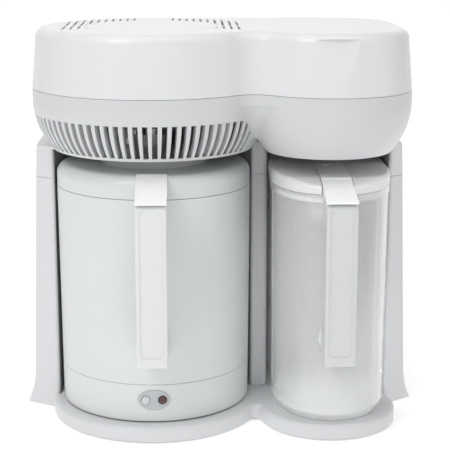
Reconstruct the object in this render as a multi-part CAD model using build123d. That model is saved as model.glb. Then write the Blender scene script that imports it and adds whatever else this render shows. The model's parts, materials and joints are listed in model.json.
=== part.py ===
from build123d import *
import math
import os

# Countertop water distiller.
# Millimetres. X is to the right, Y away from the user, Z up.
# The origin is the middle of the footprint, on the surface that the stand rests on.

# Clearances and walls
part_gap = 0.3
seat_gap = 0.15
running_gap = 0.05
stand_wall = 2.5
head_wall = 2.5
beyond = 1.0

# Boiler
boiler_top_r = 94.8
boiler_foot_r = boiler_top_r - 1.7
boiler_foot_z = 17.5
boiler_seam_z = 54.0
boiler_rim_z = 233.4
boiler_wall = 2.5
rim_wall = 2.3
vessel_r = boiler_foot_r - 5.6
vessel_wall = 1.0
vessel_edge = 4.0
vessel_floor_z = 66.0
vessel_flange_z = boiler_rim_z - 6.0
vessel_flange_thickness = 1.0
jacket_wall = 4.0
bottom_cover_thickness = 2.0

# Carafe
handle_low_z = 84.5
carafe_half_width = 56.5
carafe_nose = 75.0
carafe_side_r = 96.0
carafe_rear_r = 16.0
carafe_draft = 1.2
carafe_low_z = 16.5
carafe_rim_z = boiler_rim_z + 5.6
carafe_collar_z = carafe_rim_z - 7.0
carafe_collar = 1.0
carafe_wall = 3.0
carafe_floor = 7.0
carafe_edge_r = 5.0
boss_r = 16.4
boss_z = handle_low_z + 18.5
boss_thickness = 5.0

# Stand, seen from the front: the width adds up from both bays and what is beside them
wing_room_left, wing_room_right = 26.1, 22.8
boiler_bay_gap = 2.6
bay_r = boiler_top_r + boiler_bay_gap
column_wall = 15.6
column_width = 27.5
carafe_gap_left, carafe_gap_right = 2.0, 3.7
carafe_bay_width = 2 * carafe_half_width + carafe_gap_left + carafe_gap_right
wall_span_low = wing_room_left + 2 * bay_r + column_wall + carafe_bay_width + wing_room_right
foot_span = wall_span_low + 16.0
wall_span_high = wall_span_low - 15.0
shoulder_span = wall_span_low - 18.0
foot_curve_z = 33.0
wing_bottom_z = 1.0
base_low_z = 2.0
base_top_z = 16.0
shoulder_seam_z = boiler_rim_z + 4.6
deck_top_z = boiler_rim_z + 36.6
deck_thickness = 3.0

# Where the two vessels stand
boiler_x, boiler_y = wing_room_left + bay_r - wall_span_low / 2, 12.0
column_right_x = boiler_x + bay_r + column_wall
column_left_x = column_right_x - column_width
carafe_x, carafe_y = column_right_x + carafe_gap_left + carafe_half_width, boiler_y - 27.0
wing_left_x = boiler_x - bay_r + 0.9
wing_right_x = column_right_x + carafe_bay_width

# Stand, seen from above
wing_inner_y = boiler_y - 9.0
wing_outer_y = wing_inner_y + 16.0
column_front_y = boiler_y + 10.0
stand_rear_y = boiler_y + boiler_top_r + 15.2
bay_rear_y = stand_rear_y - 22.5
bay_corner_r = 12.0
carafe_rear_y = bay_rear_y - 3.5
rear_edge_r = 1.5
column_left_edge_r, column_right_edge_r = 3.0, 5.0
wing_edge_r = 2.5
edge_search, edge_min_height = 0.4, 10.0
cover_thickness = 3.2
cover_margin = 1.0
cover_edge_round = 1.5
cover_outer_y = stand_rear_y + part_gap + cover_thickness
vent_rows = 9
vent_pitch = 9.0
vent_low_z = 120.0
vent_length, vent_height = 44.0, 3.6

# Base tray
base_left_x, base_left_y = boiler_x + 0.5, boiler_y - 4.4
base_left_r = boiler_foot_r + 10.3
base_right_x, base_right_y = carafe_x - 1.0, carafe_y - 12.0
base_right_r = carafe_half_width + 10.6
notch_y = carafe_y - 21.0
notch_r = 5.0
base_edge_r = 4.0
bottom_plate_low_z = base_low_z + 0.5
bottom_plate_top_z = bottom_plate_low_z + 1.8
foot_r = 9.0
screw_inset = 14.0

# Boiler lid
lid_r = boiler_top_r - 0.2
lid_low_z = boiler_rim_z + 0.4
lid_side_z = boiler_rim_z + 11.6
lid_top_z = boiler_rim_z + 21.6
lid_shoulder_r = 10.0
lid_disc_r = 51.5
lid_disc_z = boiler_rim_z + 28.7
lid_wall = 3.0
lid_roof = 7.0
lid_plug_r = boiler_top_r - rim_wall - 1.1
lid_plug_z = boiler_rim_z - 2.1
lid_plug_wall = 6.0
liner_thickness = 0.8
gasket_width = 5.3
steam_bore_r = 9.0
steam_tube_r = 11.0
steam_lip = 5.0
steam_lip_thickness = 1.5
steam_tube_low_z = boiler_rim_z - 7.4
steam_tube_top_z = lid_disc_z

# Strap handles and the tabs above them
handle_width = 28.5
handle_front_y = boiler_y - boiler_top_r - 45.2
grip_thickness = 9.0
handle_top_z = boiler_rim_z + 3.6
upper_arm_height = 25.0
lower_arm_height = 28.0
handle_corner_r = 7.0
handle_inner_r = 9.0
grip_edge_r = 2.0
grip_rim = 3.6
grip_recess = 0.8
field_corner_r = 5.0
handle_screw_dx = 7.0
tab_gap = 1.4
tab_thickness = 11.5
tab_lip = 2.0
tab_root = 18.0
tab_rear_y = boiler_y - 84.0
tab_rear_z = boiler_rim_z + 22.8
tab_front_z = handle_top_z + 3.6

# Control plate on the boiler's base band
plate_width, plate_height = 31.0, 20.0
plate_z = 39.2
plate_proud = 0.6
button_offset, button_r = -8.0, 3.9
lamp_offset, lamp_r = 8.0, 4.2
lamp_stem_r = 3.2
button_stem_r = 2.0
button_cap = 6.0
button_proud = 1.9
lamp_proud = 1.2
switch_half_width, switch_depth, switch_rise = 15.0, 14.0, 8.0
spring_wire_r = 0.3
spring_turns = 5

# Heating element and what is fixed under the vessel
element_r = vessel_r - 25.5
element_tube_r = 4.0
element_half_gap = 20.0
terminal_r = 2.8
terminal_length = 16.0
thermostat_r, thermostat_flange_r = 9.0, 12.0
fuse_r, fuse_length, fuse_y = 3.0, 14.0, boiler_y + 30.0
boiler_lead_r = 1.5
glide_pad_r = 8.0

# Docking plug and mains inlet
plug_width, plug_height = 34.0, 20.0
plug_z = 36.0
plug_step = 2.0
plug_depth = 16.5
plug_pin_r = 2.0
plug_pin_pitch = 9.0
plug_pin_gap = 0.25
pin_root = 8.0
pin_reach = 11.0
contact_wall = 0.7
plug_proud = 2.5
socket_floor = 2.0
inlet_x, inlet_z = column_right_x - 29.5, 58.0
inlet_width, inlet_height = 27.0, 20.0
inlet_depth = 22.0
inlet_recess_width, inlet_recess_height = 23.5, 16.0
inlet_recess_depth = 17.0
inlet_rim = 3.0
inlet_rim_thickness = 2.0
inlet_pin_setback = 5.0
inlet_pin_width, inlet_pin_height = 2.0, 4.0
inlet_pin_places = [(-7.0, -1.5), (0.0, 2.5), (7.0, -1.5)]
inlet_lead_r = 2.4
fan_lead_r = 1.8
lead_hole_x, lead_hole_y = column_right_x - 7.5, stand_rear_y - 38.0
lead_hole_r = 4.5

# Head
head_right_x, head_right_y = carafe_x - 3.0, carafe_y - 5.0
head_left_r = boiler_top_r + 21.3
head_right_r = carafe_half_width + 22.3
head_rear_y = boiler_y + head_left_r
head_seam_z = deck_top_z + 59.0
head_top_z = deck_top_z + 116.0
cover_taper = 5.2
cover_edge_r = 9.0
cover_wall_top = 3.0
valley_r = 22.0
bowl_straight_z = deck_top_z + 48.0
bowl_draw_in = 18.5
bowl_step = 0.06
bowl_block_front_y = column_front_y + 2.0
web_low_z = deck_top_z + 14.0
web_low_r = 3.5
web_step = 0.15
web_reach = 0.9
rib_depth = 6.5
rib_margin = 2.0
rib_turn_left = 20.0
near_slots = 5
louvre_cut_in, louvre_cut_out = 30.0, 1.0

# Louvres of the left bowl, and the grille above
louvre_top_z = deck_top_z + 34.6
louvre_low_z = deck_top_z + 3.0
louvre_pitch = 4.5
louvre_width = 5.0
louvre_first, louvre_last = 92.0, 330.0
grille_inner_r, grille_outer_r = head_left_r - 50.1, head_left_r - 20.1
grille_first_x = 19.5
grille_pitch = 7.0
grille_slot_width = 2.2
grille_least_slot = 8.0
grille_cross_rib = 4.0
grille_front_angle = -30.0
groove_r = grille_inner_r - 2.0
groove_width, groove_depth = 0.8, 0.4

# Bare facet on the front of the right lobe
facet_x = carafe_x
facet_width = 110.0
facet_low_y, facet_low_z = head_right_y - head_right_r - 0.1, head_seam_z + 5.0
facet_high_y, facet_high_z = facet_low_y + 7.9, head_top_z - 5.0

# Condenser
port_hole_r = 21.0
bellows_r = 50.0
bellows_wall = 3.0
bellows_fold = 2.0
bellows_hole_r = bellows_r + 4.0
funnel_wall = 1.5
funnel_height = 10.0
coil_tube_r = 4.0
coil_z = deck_top_z + 33.0
coil_first_r = 18.0
coil_pitch = 12.0
coil_reach = head_left_r - 22.0
coil_turns = int((coil_reach - coil_first_r - coil_tube_r) / coil_pitch)
coil_riser_bend = 14.0
coil_tail = 30.0
fin_count = 36
fin_thickness = 0.9
fin_height = 15.0
fin_inner_r, fin_outer_r = 34.0, head_left_r - 24.1
distillate_tube_r = 4.2
nozzle_x, nozzle_y = carafe_x, carafe_y + 10.0
nozzle_r = 7.0
nozzle_bore_r = 2.5
nozzle_low_z = deck_top_z - 6.0
nozzle_flange_r = 12.0
nozzle_spigot_z = deck_top_z + 12.0

# Fan
fan_post_r = head_left_r - 6.1
fan_post_size = 5.0
fan_post_low_z = deck_top_z + 36.0
fan_post_top_z = deck_top_z + 58.0
bracket_angles = [100.0, 205.0, 310.0]
bracket_thickness = 3.0
bracket_arm_width = 12.0
bracket_hub_r = 26.0
motor_low_z = fan_post_top_z + part_gap + bracket_thickness
motor_r = 19.0
motor_height = 18.0
motor_step = 2.0
shaft_r = 2.0
shaft_depth = 10.0
impeller_hub_r = 22.0
impeller_tip_r = head_left_r - 21.1
impeller_low_z = deck_top_z + 85.0
impeller_height = 16.0
impeller_wall = 2.0
blade_count = 7
blade_chord = 32.0
blade_thickness = 2.0
blade_pitch = 26.0

# Carafe lid and its filter
carafe_lid_z = carafe_rim_z + part_gap
carafe_lid_top_z = carafe_rim_z + 12.0
carafe_lid_edge_r = 3.5
carafe_lid_bend_r = 30.0
carafe_lid_plug_z = carafe_rim_z - 8.0
carafe_lid_plug_wall = 3.0
carafe_lid_skin = 3.0
strip_thickness = 1.8
strip_proud = 0.5
strip_line = 0.6
strip_rear_y = carafe_rear_y - 8.0
strip_bend_y = carafe_y - 49.0
pour_slot_width = 30.0
inlet_hole_r = 6.0
cup_r = 22.0
cup_wall = 1.6
cup_low_z = carafe_rim_z - 38.0
cup_taper = 3.0
cup_hole_r, cup_hole_count = 1.5, 8
cap_thickness = 1.6
cap_hole_r, cap_hole_count = 1.3, 12
filter_height = 20.0

# Screws
screw_shank_r = 1.4
screw_head_r = 3.0
screw_head = 1.8
small_head_r = 2.6
small_head = 0.9
boss_size = 4.5
base_screw_length = 8.0
long_screw_length = 14.0
pad_depth = 20.0
cover_screw_low_z = 52.0
cover_screw_high_z = shoulder_seam_z - 16.0
cover_screw_middle_z = 78.0


def block(x0, x1, y0, y1, z0, z1):
    """A box between two corners."""
    return Pos((x0 + x1) / 2, (y0 + y1) / 2, (z0 + z1) / 2) * Box(x1 - x0, y1 - y0, z1 - z0)


def post(x, y, z0, z1, r):
    """An upright round bar."""
    return Pos(x, y, (z0 + z1) / 2) * Cylinder(r, z1 - z0)


def bar_y(x, z, y0, y1, r):
    """A round bar along Y."""
    return Pos(x, (y0 + y1) / 2, z) * Rot(90, 0, 0) * Cylinder(r, y1 - y0)


def ring(x, y, z0, z1, outer, inner):
    """An upright tube."""
    return post(x, y, z0, z1, outer) - post(x, y, z0 - beyond, z1 + beyond, inner)


def turned_points(x, y, points):
    """A solid of revolution from straight lines between points of radius and height."""
    face = make_face(Plane.XZ * Polyline(*points, close=True))
    return Pos(x, y, 0) * revolve(face, Axis.Z, 360)


def upright(plan, z0, z1):
    """A plan raised between two heights."""
    return extrude(Pos(0, 0, z0) * plan, z1 - z0)


def polar(x, y, r, angle):
    """The point at a distance and direction from a centre."""
    a = math.radians(angle)
    return x + r * math.cos(a), y + r * math.sin(a)


# Stand: common form

def stand_face(inset, low_z, high_z):
    """Front outline of the stand: walls that lean in, with feet that flare below."""
    foot = foot_span / 2 - inset
    low = wall_span_low / 2 - inset
    high = wall_span_high / 2 - inset
    lean = Vector(low - high, foot_curve_z - shoulder_seam_z)
    right = Line((high, high_z), (low, foot_curve_z))
    flare = TangentArc((low, foot_curve_z), (foot, low_z), tangent=lean)
    left = mirror(right, Plane.YZ)
    left_flare = mirror(flare, Plane.YZ)
    top = Line((-high, high_z), (high, high_z))
    bottom = Line((-foot, low_z), (foot, low_z))
    return make_face(Plane.XZ * Curve([right, flare, left, left_flare, top, bottom]))


def shoulder_face(inset, low_z, high_z):
    """Front outline of the shoulder, which carries on from the walls of the tower."""
    low = wall_span_high / 2 - inset
    high = shoulder_span / 2 - inset
    outline = Polyline((-low, low_z), (low, low_z), (high, high_z), (-high, high_z), close=True)
    return make_face(Plane.XZ * outline)


def along_y(face, y0, y1):
    """A front outline made solid between two depths."""
    return Pos(0, y0, 0) * extrude(face, y1 - y0, dir=(0, 1, 0))


def round_rear(solid, radius):
    """Rounds the two upright rear edges of a stand casing."""
    edges = [
        e
        for e in solid.edges()
        if abs(e.center().Y - stand_rear_y) < 0.01 and abs(e.center().X) > shoulder_span / 2 - 10
    ]
    upright_edges = [e for e in edges if e.bounding_box().size.Z > e.bounding_box().size.X]
    return fillet(upright_edges, radius)


def round_fronts(solid):
    """Rounds the upright front edges of the column, and of both wings where the bays begin."""
    column_x = boiler_x + math.sqrt(bay_r ** 2 - (column_front_y - boiler_y) ** 2)
    wing_x = boiler_x - math.sqrt(bay_r ** 2 - (wing_inner_y - boiler_y) ** 2)
    places = [
        (column_x, column_front_y, column_left_edge_r),
        (column_right_x, column_front_y, column_right_edge_r),
        (wing_x, wing_inner_y, wing_edge_r),
        (wing_right_x, wing_inner_y, wing_edge_r),
    ]
    for x, y, radius in places:
        near = [e for e in solid.edges() if math.hypot(e.center().X - x, e.center().Y - y) < edge_search]
        solid = fillet([e for e in near if e.bounding_box().size.Z > edge_min_height], radius)
    return solid


def wing_corner(side, grow):
    """What is cut off the front of a wing, so that its face slants back from the bay."""
    inner = wing_left_x if side < 0 else wing_right_x
    outer = side * wall_span_low / 2
    over = side * 40.0
    slope = (wing_outer_y - wing_inner_y) / (outer - inner)
    points = [
        (inner, wing_inner_y - 30.0),
        (inner, wing_inner_y),
        (outer + over, wing_inner_y + slope * (outer + over - inner)),
        (outer + over, wing_inner_y - 30.0),
    ]
    plan = make_face(Polyline(*points, close=True))
    if grow:
        plan = offset(plan, grow, kind=Kind.INTERSECTION)
    return plan


def bays(grow, top_z):
    """The room inside the stand that the boiler and the carafe take, down through its floor."""
    low = -1.0
    round_bay = post(boiler_x, boiler_y, low, top_z, bay_r + grow)
    square = RectangleRounded(
        wing_right_x - column_right_x + 2 * grow, 2 * bay_rear_y + 2 * grow, bay_corner_r + grow
    )
    square_bay = upright(Pos((column_right_x + wing_right_x) / 2, 0) * square, low, top_z)
    front = block(column_left_x - grow, column_right_x + 10, -60, column_front_y + grow, low, 300)
    return round_bay + square_bay + front


def corners(grow):
    """The slanted fronts of both wings, over the whole height."""
    plan = wing_corner(-1, grow) + wing_corner(1, grow)
    return upright(plan, -5.0, 300.0)


def under_tray(grow):
    """The room between the wings that the base tray takes."""
    top = base_top_z + part_gap + grow
    return block(wing_left_x - grow, wing_right_x + grow, -60, 200, -5, top)


# Base

def base_plan():
    """Plan of the tray: two lobes with a notch between them, and the floor between the wings."""
    lobes = Pos(base_left_x, base_left_y) * Circle(base_left_r)
    lobes += Pos(base_right_x, base_right_y) * Circle(base_right_r)
    web_y = (notch_y + wing_inner_y) / 2
    web = Pos((base_left_x + base_right_x) / 2, web_y) * Rectangle(
        base_right_x - base_left_x, wing_inner_y - notch_y
    )
    plan = lobes + web
    corners_at_notch = [v for v in plan.vertices() if abs(v.Y - notch_y) < 0.5]
    plan = fillet(corners_at_notch, notch_r)
    floor_width = wing_right_x - wing_left_x - 2 * part_gap
    floor_depth = stand_rear_y - part_gap - wing_inner_y
    floor = Pos((wing_left_x + wing_right_x) / 2, wing_inner_y + floor_depth / 2) * Rectangle(
        floor_width, floor_depth
    )
    wing_width = wall_span_low / 2
    wings = Sketch() + [
        Pos(x, wing_inner_y - part_gap + floor_depth) * Rectangle(wing_width, 2 * floor_depth)
        for x in (
            wing_left_x + part_gap - wing_width / 2,
            wing_right_x - part_gap + wing_width / 2,
        )
    ]
    return plan - wings + floor


def foot_places():
    """Rubber feet under the front of both lobes and near both rear corners."""
    rear = stand_rear_y - 22.0
    return [
        polar(base_left_x, base_left_y, base_left_r - 30.0, 211.0),
        polar(base_left_x, base_left_y, base_left_r - 21.0, 302.0),
        (base_right_x, base_right_y - base_right_r + 28.0),
        (wing_left_x + 23.0, rear),
        (wing_right_x - 22.0, rear),
    ]


def base_screw_places():
    """Screws that hold the bottom plate: in the lobes, in the notch, and along the rear."""
    rear = stand_rear_y - screw_inset
    return [
        polar(base_left_x, base_left_y, base_left_r - screw_inset, 232.0),
        (column_left_x + 10.0, notch_y + 16.0),
        polar(base_right_x, base_right_y, base_right_r - screw_inset, 348.0),
        (boiler_x - 24.5, rear),
        (column_right_x + 12.5, rear),
    ]


def tower_screw_places():
    """Screws from the tray up into the tower, where it has room beside the bays."""
    rear = stand_rear_y - 10.0
    column = column_right_x - stand_wall - 3.0
    return [
        (wing_left_x + 23.0, rear),
        (column, column_front_y + 38.0),
        (column, rear),
        (wing_right_x - 18.0, rear),
    ]


def make_base_plate():
    plan = base_plan()
    body = upright(plan, base_low_z, base_top_z)
    top = body.faces().sort_by(Axis.Z)[-1]
    rim = [e for e in top.edges() if e.center().Y < wing_inner_y - beyond]
    body = fillet(rim, base_edge_r)
    roof_z = base_top_z - stand_wall
    body -= upright(offset(plan, -stand_wall), base_low_z - beyond, roof_z)
    for x, y in base_screw_places():
        body += post(x, y, bottom_plate_top_z + seat_gap, roof_z, boss_size)
        body -= post(x, y, base_low_z, roof_z - beyond, screw_shank_r + running_gap)
    for x, y in tower_screw_places():
        body -= post(x, y, base_low_z, base_top_z + beyond, screw_shank_r + running_gap)
    return body


def make_bottom_plate():
    plan = offset(base_plan(), -stand_wall - part_gap)
    plate = upright(plan, bottom_plate_low_z, bottom_plate_top_z)
    for x, y in base_screw_places():
        plate -= post(x, y, base_low_z, bottom_plate_top_z + beyond, screw_shank_r + part_gap)
    return plate


def make_rubber_feet():
    top = bottom_plate_low_z
    foot = turned_points(0, 0, [(0, 0), (foot_r - 1, 0), (foot_r, 1), (foot_r, top), (0, top)])
    return [Pos(x, y, 0) * foot for x, y in foot_places()]


def screw(length):
    """A screw that points up, with its head below z 0."""
    return post(0, 0, 0, length, screw_shank_r) + post(0, 0, -screw_head, 0, screw_head_r)


def make_base_screws():
    short = screw(base_screw_length)
    long = screw(long_screw_length)
    screws = [Pos(x, y, bottom_plate_low_z) * short for x, y in base_screw_places()]
    return screws + [Pos(x, y, base_top_z - stand_wall) * long for x, y in tower_screw_places()]


# Tower

def wall_half_span(z):
    """Half the width of the tower at a height above its flared feet."""
    share = (z - foot_curve_z) / (shoulder_seam_z - foot_curve_z)
    return (wall_span_low + (wall_span_high - wall_span_low) * share) / 2


def cover_screw_places():
    """Where the back cover is fastened: beside both walls and behind both bays."""
    places = []
    for z, middle_z in ((cover_screw_low_z, cover_screw_middle_z), (cover_screw_high_z, cover_screw_high_z)):
        side = wall_half_span(z) - stand_wall - 6.0
        places += [(-side, z), (side, z), (boiler_x, middle_z), (carafe_x, middle_z)]
    return places


def cover_screw_pad(x, z):
    """A pad that a cover screw bites in, with a web to the nearest wall."""
    front = stand_rear_y - pad_depth
    pad = bar_y(x, z, front, stand_rear_y, boss_size)
    if abs(x) > wing_right_x:
        reach = math.copysign(6.0 + stand_wall / 2, x)
        web = block(min(x, x + reach), max(x, x + reach), front, stand_rear_y - 1, z - 1, z + 1)
    else:
        web = block(x - 1, x + 1, front - 2, stand_rear_y - 1, z - 6, z + 6)
    return pad + web


def make_stand_tower():
    top = shoulder_seam_z
    over = top + 10
    body = along_y(stand_face(0, wing_bottom_z, top), wing_inner_y, stand_rear_y)
    body = round_rear(body, rear_edge_r)
    body -= bays(0, over) + corners(0)
    body = round_fronts(body - under_tray(0))
    inside = stand_face(stand_wall, wing_bottom_z + stand_wall, top + beyond)
    room = along_y(inside, wing_inner_y, stand_rear_y + beyond)
    room -= bays(stand_wall, over) + corners(stand_wall)
    room -= under_tray(stand_wall)
    body -= room
    keep = bays(0, over)
    for x, z in cover_screw_places():
        body += cover_screw_pad(x, z) - keep
        body -= bar_y(x, z, stand_rear_y - 12, stand_rear_y + beyond, screw_shank_r + running_gap)
    for x, y in tower_screw_places():
        body += post(x, y, base_top_z + part_gap, base_top_z + 18, boss_size) - keep
        body -= post(x, y, base_top_z - beyond, base_top_z + 16, screw_shank_r + running_gap)
    half_w = plug_width / 2 + part_gap
    half_h = plug_height / 2 + part_gap
    front = boiler_y + boiler_foot_r - 5
    x0, x1 = boiler_x - half_w, boiler_x + half_w
    return body - block(x0, x1, front, stand_rear_y + beyond, plug_z - half_h, plug_z + half_h)


def head_screw_places():
    """Screws from under the deck up into the head, behind the bays and in the column."""
    rear = stand_rear_y - 16.8
    column = column_right_x - 5.5
    return [(column, column_front_y + 30.0), (column, rear), (boiler_x + 47.5, rear), (carafe_x - 16.0, rear)]


def make_tower_shoulder():
    low = shoulder_seam_z + part_gap
    under = deck_top_z - deck_thickness
    over = deck_top_z + beyond
    body = along_y(shoulder_face(0, low, deck_top_z), wing_inner_y, stand_rear_y)
    body = round_rear(body, rear_edge_r)
    body = round_fronts(body - bays(0, under) - corners(0))
    room = along_y(shoulder_face(stand_wall, low - beyond, under), wing_inner_y, stand_rear_y + beyond)
    room -= bays(stand_wall, over) + corners(stand_wall)
    body -= room
    body -= post(boiler_x, boiler_y, under - beyond, over, bellows_hole_r)
    body -= post(nozzle_x, nozzle_y, under - beyond, over, nozzle_r + part_gap)
    for x, y in head_screw_places():
        body -= post(x, y, under - beyond, over, screw_shank_r + part_gap)
    return body - post(lead_hole_x, lead_hole_y, under - beyond, over, lead_hole_r)


def make_back_cover():
    high = deck_top_z - deck_thickness
    tower = stand_face(cover_margin, wing_bottom_z + cover_margin, shoulder_seam_z)
    shoulder = shoulder_face(cover_margin, shoulder_seam_z, high)
    y0 = stand_rear_y + part_gap
    front, behind = y0 - beyond, cover_outer_y + beyond
    body = along_y(tower, y0, cover_outer_y) + along_y(shoulder, y0, cover_outer_y)
    body = fillet(body.faces().sort_by(Axis.Y)[-1].edges(), cover_edge_round)
    x0, x1 = wing_left_x - stand_wall, wing_right_x + stand_wall
    body -= block(x0, x1, front, behind, 0, base_top_z + stand_wall)
    slot = Rot(90, 0, 0) * extrude(SlotOverall(vent_length, vent_height), cover_thickness + 2, both=True)
    for row in range(vent_rows):
        for x in (boiler_x, column_right_x - 7.5, carafe_x):
            body -= Pos(x, y0, vent_low_z + vent_pitch * row) * slot
    for x, z in cover_screw_places():
        body -= bar_y(x, z, front, behind, screw_shank_r + part_gap)
    half_w = inlet_width / 2 + part_gap
    half_h = inlet_height / 2 + part_gap
    return body - block(inlet_x - half_w, inlet_x + half_w, front, behind, inlet_z - half_h, inlet_z + half_h)


def make_cover_screws():
    one = Rot(90, 0, 0) * screw(long_screw_length)
    return [Pos(x, cover_outer_y, z) * one for x, z in cover_screw_places()]


# Mains inlet and docking socket

def make_power_inlet():
    front = cover_outer_y - inlet_depth
    body = block(inlet_x - inlet_width / 2, inlet_x + inlet_width / 2, front, cover_outer_y,
                 inlet_z - inlet_height / 2, inlet_z + inlet_height / 2)
    rim_w = inlet_width / 2 + inlet_rim
    rim_h = inlet_height / 2 + inlet_rim
    rim = block(inlet_x - rim_w, inlet_x + rim_w, cover_outer_y, cover_outer_y + inlet_rim_thickness,
                inlet_z - rim_h, inlet_z + rim_h)
    rim = fillet(rim.edges().filter_by(Axis.Y), 3.0)
    body += rim
    mouth = cover_outer_y + inlet_rim_thickness
    recess = RectangleRounded(inlet_recess_width, inlet_recess_height, 2.0)
    body -= Pos(inlet_x, mouth, inlet_z) * Rot(90, 0, 0) * extrude(recess, inlet_recess_depth)
    return body


def make_inlet_pins():
    mouth = cover_outer_y + inlet_rim_thickness
    y1 = mouth - inlet_pin_setback
    y0 = mouth - inlet_recess_depth
    half_w = inlet_pin_width / 2
    half_h = inlet_pin_height / 2
    pins = []
    for dx, dz in inlet_pin_places:
        x = inlet_x + dx
        z = inlet_z + dz
        pins.append(block(x - half_w, x + half_w, y0, y1, z - half_h, z + half_h))
    return pins


def socket_front_y():
    """Front of the docking socket: it clears the plug on the boiler."""
    return boiler_y + boiler_foot_r + plug_proud + part_gap


def pin_places():
    return [boiler_x + step * plug_pin_pitch for step in (-1, 0, 1)]


def make_dock_socket():
    y1 = stand_rear_y - part_gap
    body = block(boiler_x - plug_width / 2, boiler_x + plug_width / 2, socket_front_y(), y1,
                 plug_z - plug_height / 2, plug_z + plug_height / 2)
    bore_r = plug_pin_r + plug_pin_gap + contact_wall + running_gap
    for x in pin_places():
        body -= bar_y(x, plug_z, socket_front_y() - beyond, y1 - socket_floor, bore_r)
    return body


def make_dock_contacts():
    y0 = socket_front_y() + 1
    y1 = stand_rear_y - part_gap - socket_floor
    inner = plug_pin_r + plug_pin_gap
    return [
        bar_y(x, plug_z, y0, y1, inner + contact_wall) - bar_y(x, plug_z, y0 - 1, y1 + 1, inner)
        for x in pin_places()
    ]


def wire(points, tube_r):
    """A lead along straight runs joined by arcs as large as the runs allow."""
    points = [Vector(*p) for p in points]
    radii = []
    for before, here, after in zip(points, points[1:], points[2:]):
        run_in, run_out = here - before, after - here
        turn = math.radians(run_in.get_angle(run_out))
        radii.append(0.45 * min(run_in.length, run_out.length) / math.tan(turn / 2))
    path = FilletPolyline(*points, radius=radii)
    print("lead bends", [round(r, 1) for r in radii])
    start = Plane(origin=path @ 0, z_dir=path % 0)
    return sweep(start * Circle(tube_r), path=path)


def make_inlet_lead():
    """From the mains inlet to the docking socket, along the rear of the tower."""
    y = stand_rear_y - 5.0
    straight = 18.0
    socket_side = boiler_x + plug_width / 2
    inlet_side = inlet_x - inlet_width / 2
    return wire(
        [
            (socket_side, y, plug_z),
            (socket_side + straight, y, plug_z),
            (inlet_side - straight, y, inlet_z),
            (inlet_side, y, inlet_z),
        ],
        inlet_lead_r,
    )


def make_fan_lead():
    """From the mains inlet up through the column and the deck, and in to the side of the motor."""
    y = stand_rear_y - 10.0
    start_z = inlet_z + inlet_height / 2
    motor_z = motor_low_z + motor_height / 2
    reach = Vector(50.0, 36.0)
    end = reach * ((motor_r + seat_gap) / reach.length)
    return wire(
        [
            (inlet_x, y, start_z),
            (inlet_x, y, start_z + 30),
            (lead_hole_x - 6, lead_hole_y + 8, start_z + 66),
            (lead_hole_x, lead_hole_y, start_z + 110),
            (lead_hole_x, lead_hole_y, deck_top_z + 30),
            (lead_hole_x - 14, lead_hole_y - 12, motor_z),
            (boiler_x + reach.X, boiler_y + reach.Y, motor_z),
            (boiler_x + end.X, boiler_y + end.Y, motor_z),
        ],
        fan_lead_r,
    )


# Head

def head_plan(inset):
    """Plan of the head: a large lobe, a smaller one further forward, and one straight rear."""
    left_r = head_left_r - inset
    right_r = head_right_r - inset
    rear_centre_y = head_rear_y - head_right_r
    plan = Pos(boiler_x, boiler_y) * Circle(left_r)
    plan += Pos(head_right_x, head_right_y) * Circle(right_r)
    plan += Pos(head_right_x, rear_centre_y) * Circle(right_r)
    plan += Pos(head_right_x, (head_right_y + rear_centre_y) / 2) * Rectangle(
        2 * right_r, rear_centre_y - head_right_y
    )
    depth = head_rear_y - inset - boiler_y
    plan += Pos((boiler_x + head_right_x) / 2, boiler_y + depth / 2) * Rectangle(
        head_right_x - boiler_x, depth
    )
    valley = [v for v in plan.vertices() if v.Y < 0 and boiler_x + 50 < v.X < head_right_x - 30]
    return fillet(valley, valley_r + inset)


def bowl_radius(top_r, inset, z):
    """Radius of a bowl at a height below its straight part: one arc that starts upright."""
    drop = bowl_straight_z - deck_top_z
    arc_r = (bowl_draw_in ** 2 + drop ** 2) / (2 * bowl_draw_in)
    return top_r - bowl_step - arc_r + math.sqrt((arc_r - inset) ** 2 - (bowl_straight_z - z) ** 2)


def bowl_section(top_r, inset):
    """Half section of a bowl, from its axis out to the wall that sweeps in to a flat floor."""
    low_z = deck_top_z + inset
    steps = 6
    heights = [bowl_straight_z + (low_z - bowl_straight_z) * i / steps for i in range(steps + 1)]
    points = [(bowl_radius(top_r, inset, z), z) for z in heights]
    sweep_in = Spline(*points)
    rest = Polyline(points[-1], (0, low_z), (0, bowl_straight_z), points[0])
    return make_face(Curve([sweep_in, rest]))


def housing_form(inset, top_z):
    """Both bowls, the block that joins them behind the column, and the straight part on top."""
    rear_centre_y = head_rear_y - head_right_r
    left = Plane.XZ * bowl_section(head_left_r, inset)
    right = Plane.XZ * bowl_section(head_right_r, inset)
    form = Pos(boiler_x, boiler_y, 0) * revolve(left, Axis.Z, 360)
    form += Pos(head_right_x, head_right_y, 0) * revolve(right, Axis.Z, -180)
    both = right + mirror(right, Plane.YZ)
    form += Pos(head_right_x, head_right_y, 0) * extrude(both, rear_centre_y - head_right_y, dir=(0, 1, 0))
    form += Pos(head_right_x, rear_centre_y, 0) * revolve(right, Axis.Z, 90)
    width = head_right_x - boiler_x
    across = Pos(boiler_x, boiler_y, 0) * extrude(
        Plane.YZ * bowl_section(head_left_r, inset), width, dir=(1, 0, 0)
    )
    front = bowl_block_front_y + inset
    low = deck_top_z + inset
    form += across & block(boiler_x, head_right_x, front, head_rear_y + beyond, low, bowl_straight_z)
    form += valley_web(inset)
    return form + upright(head_plan(inset), bowl_straight_z, top_z)


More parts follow.
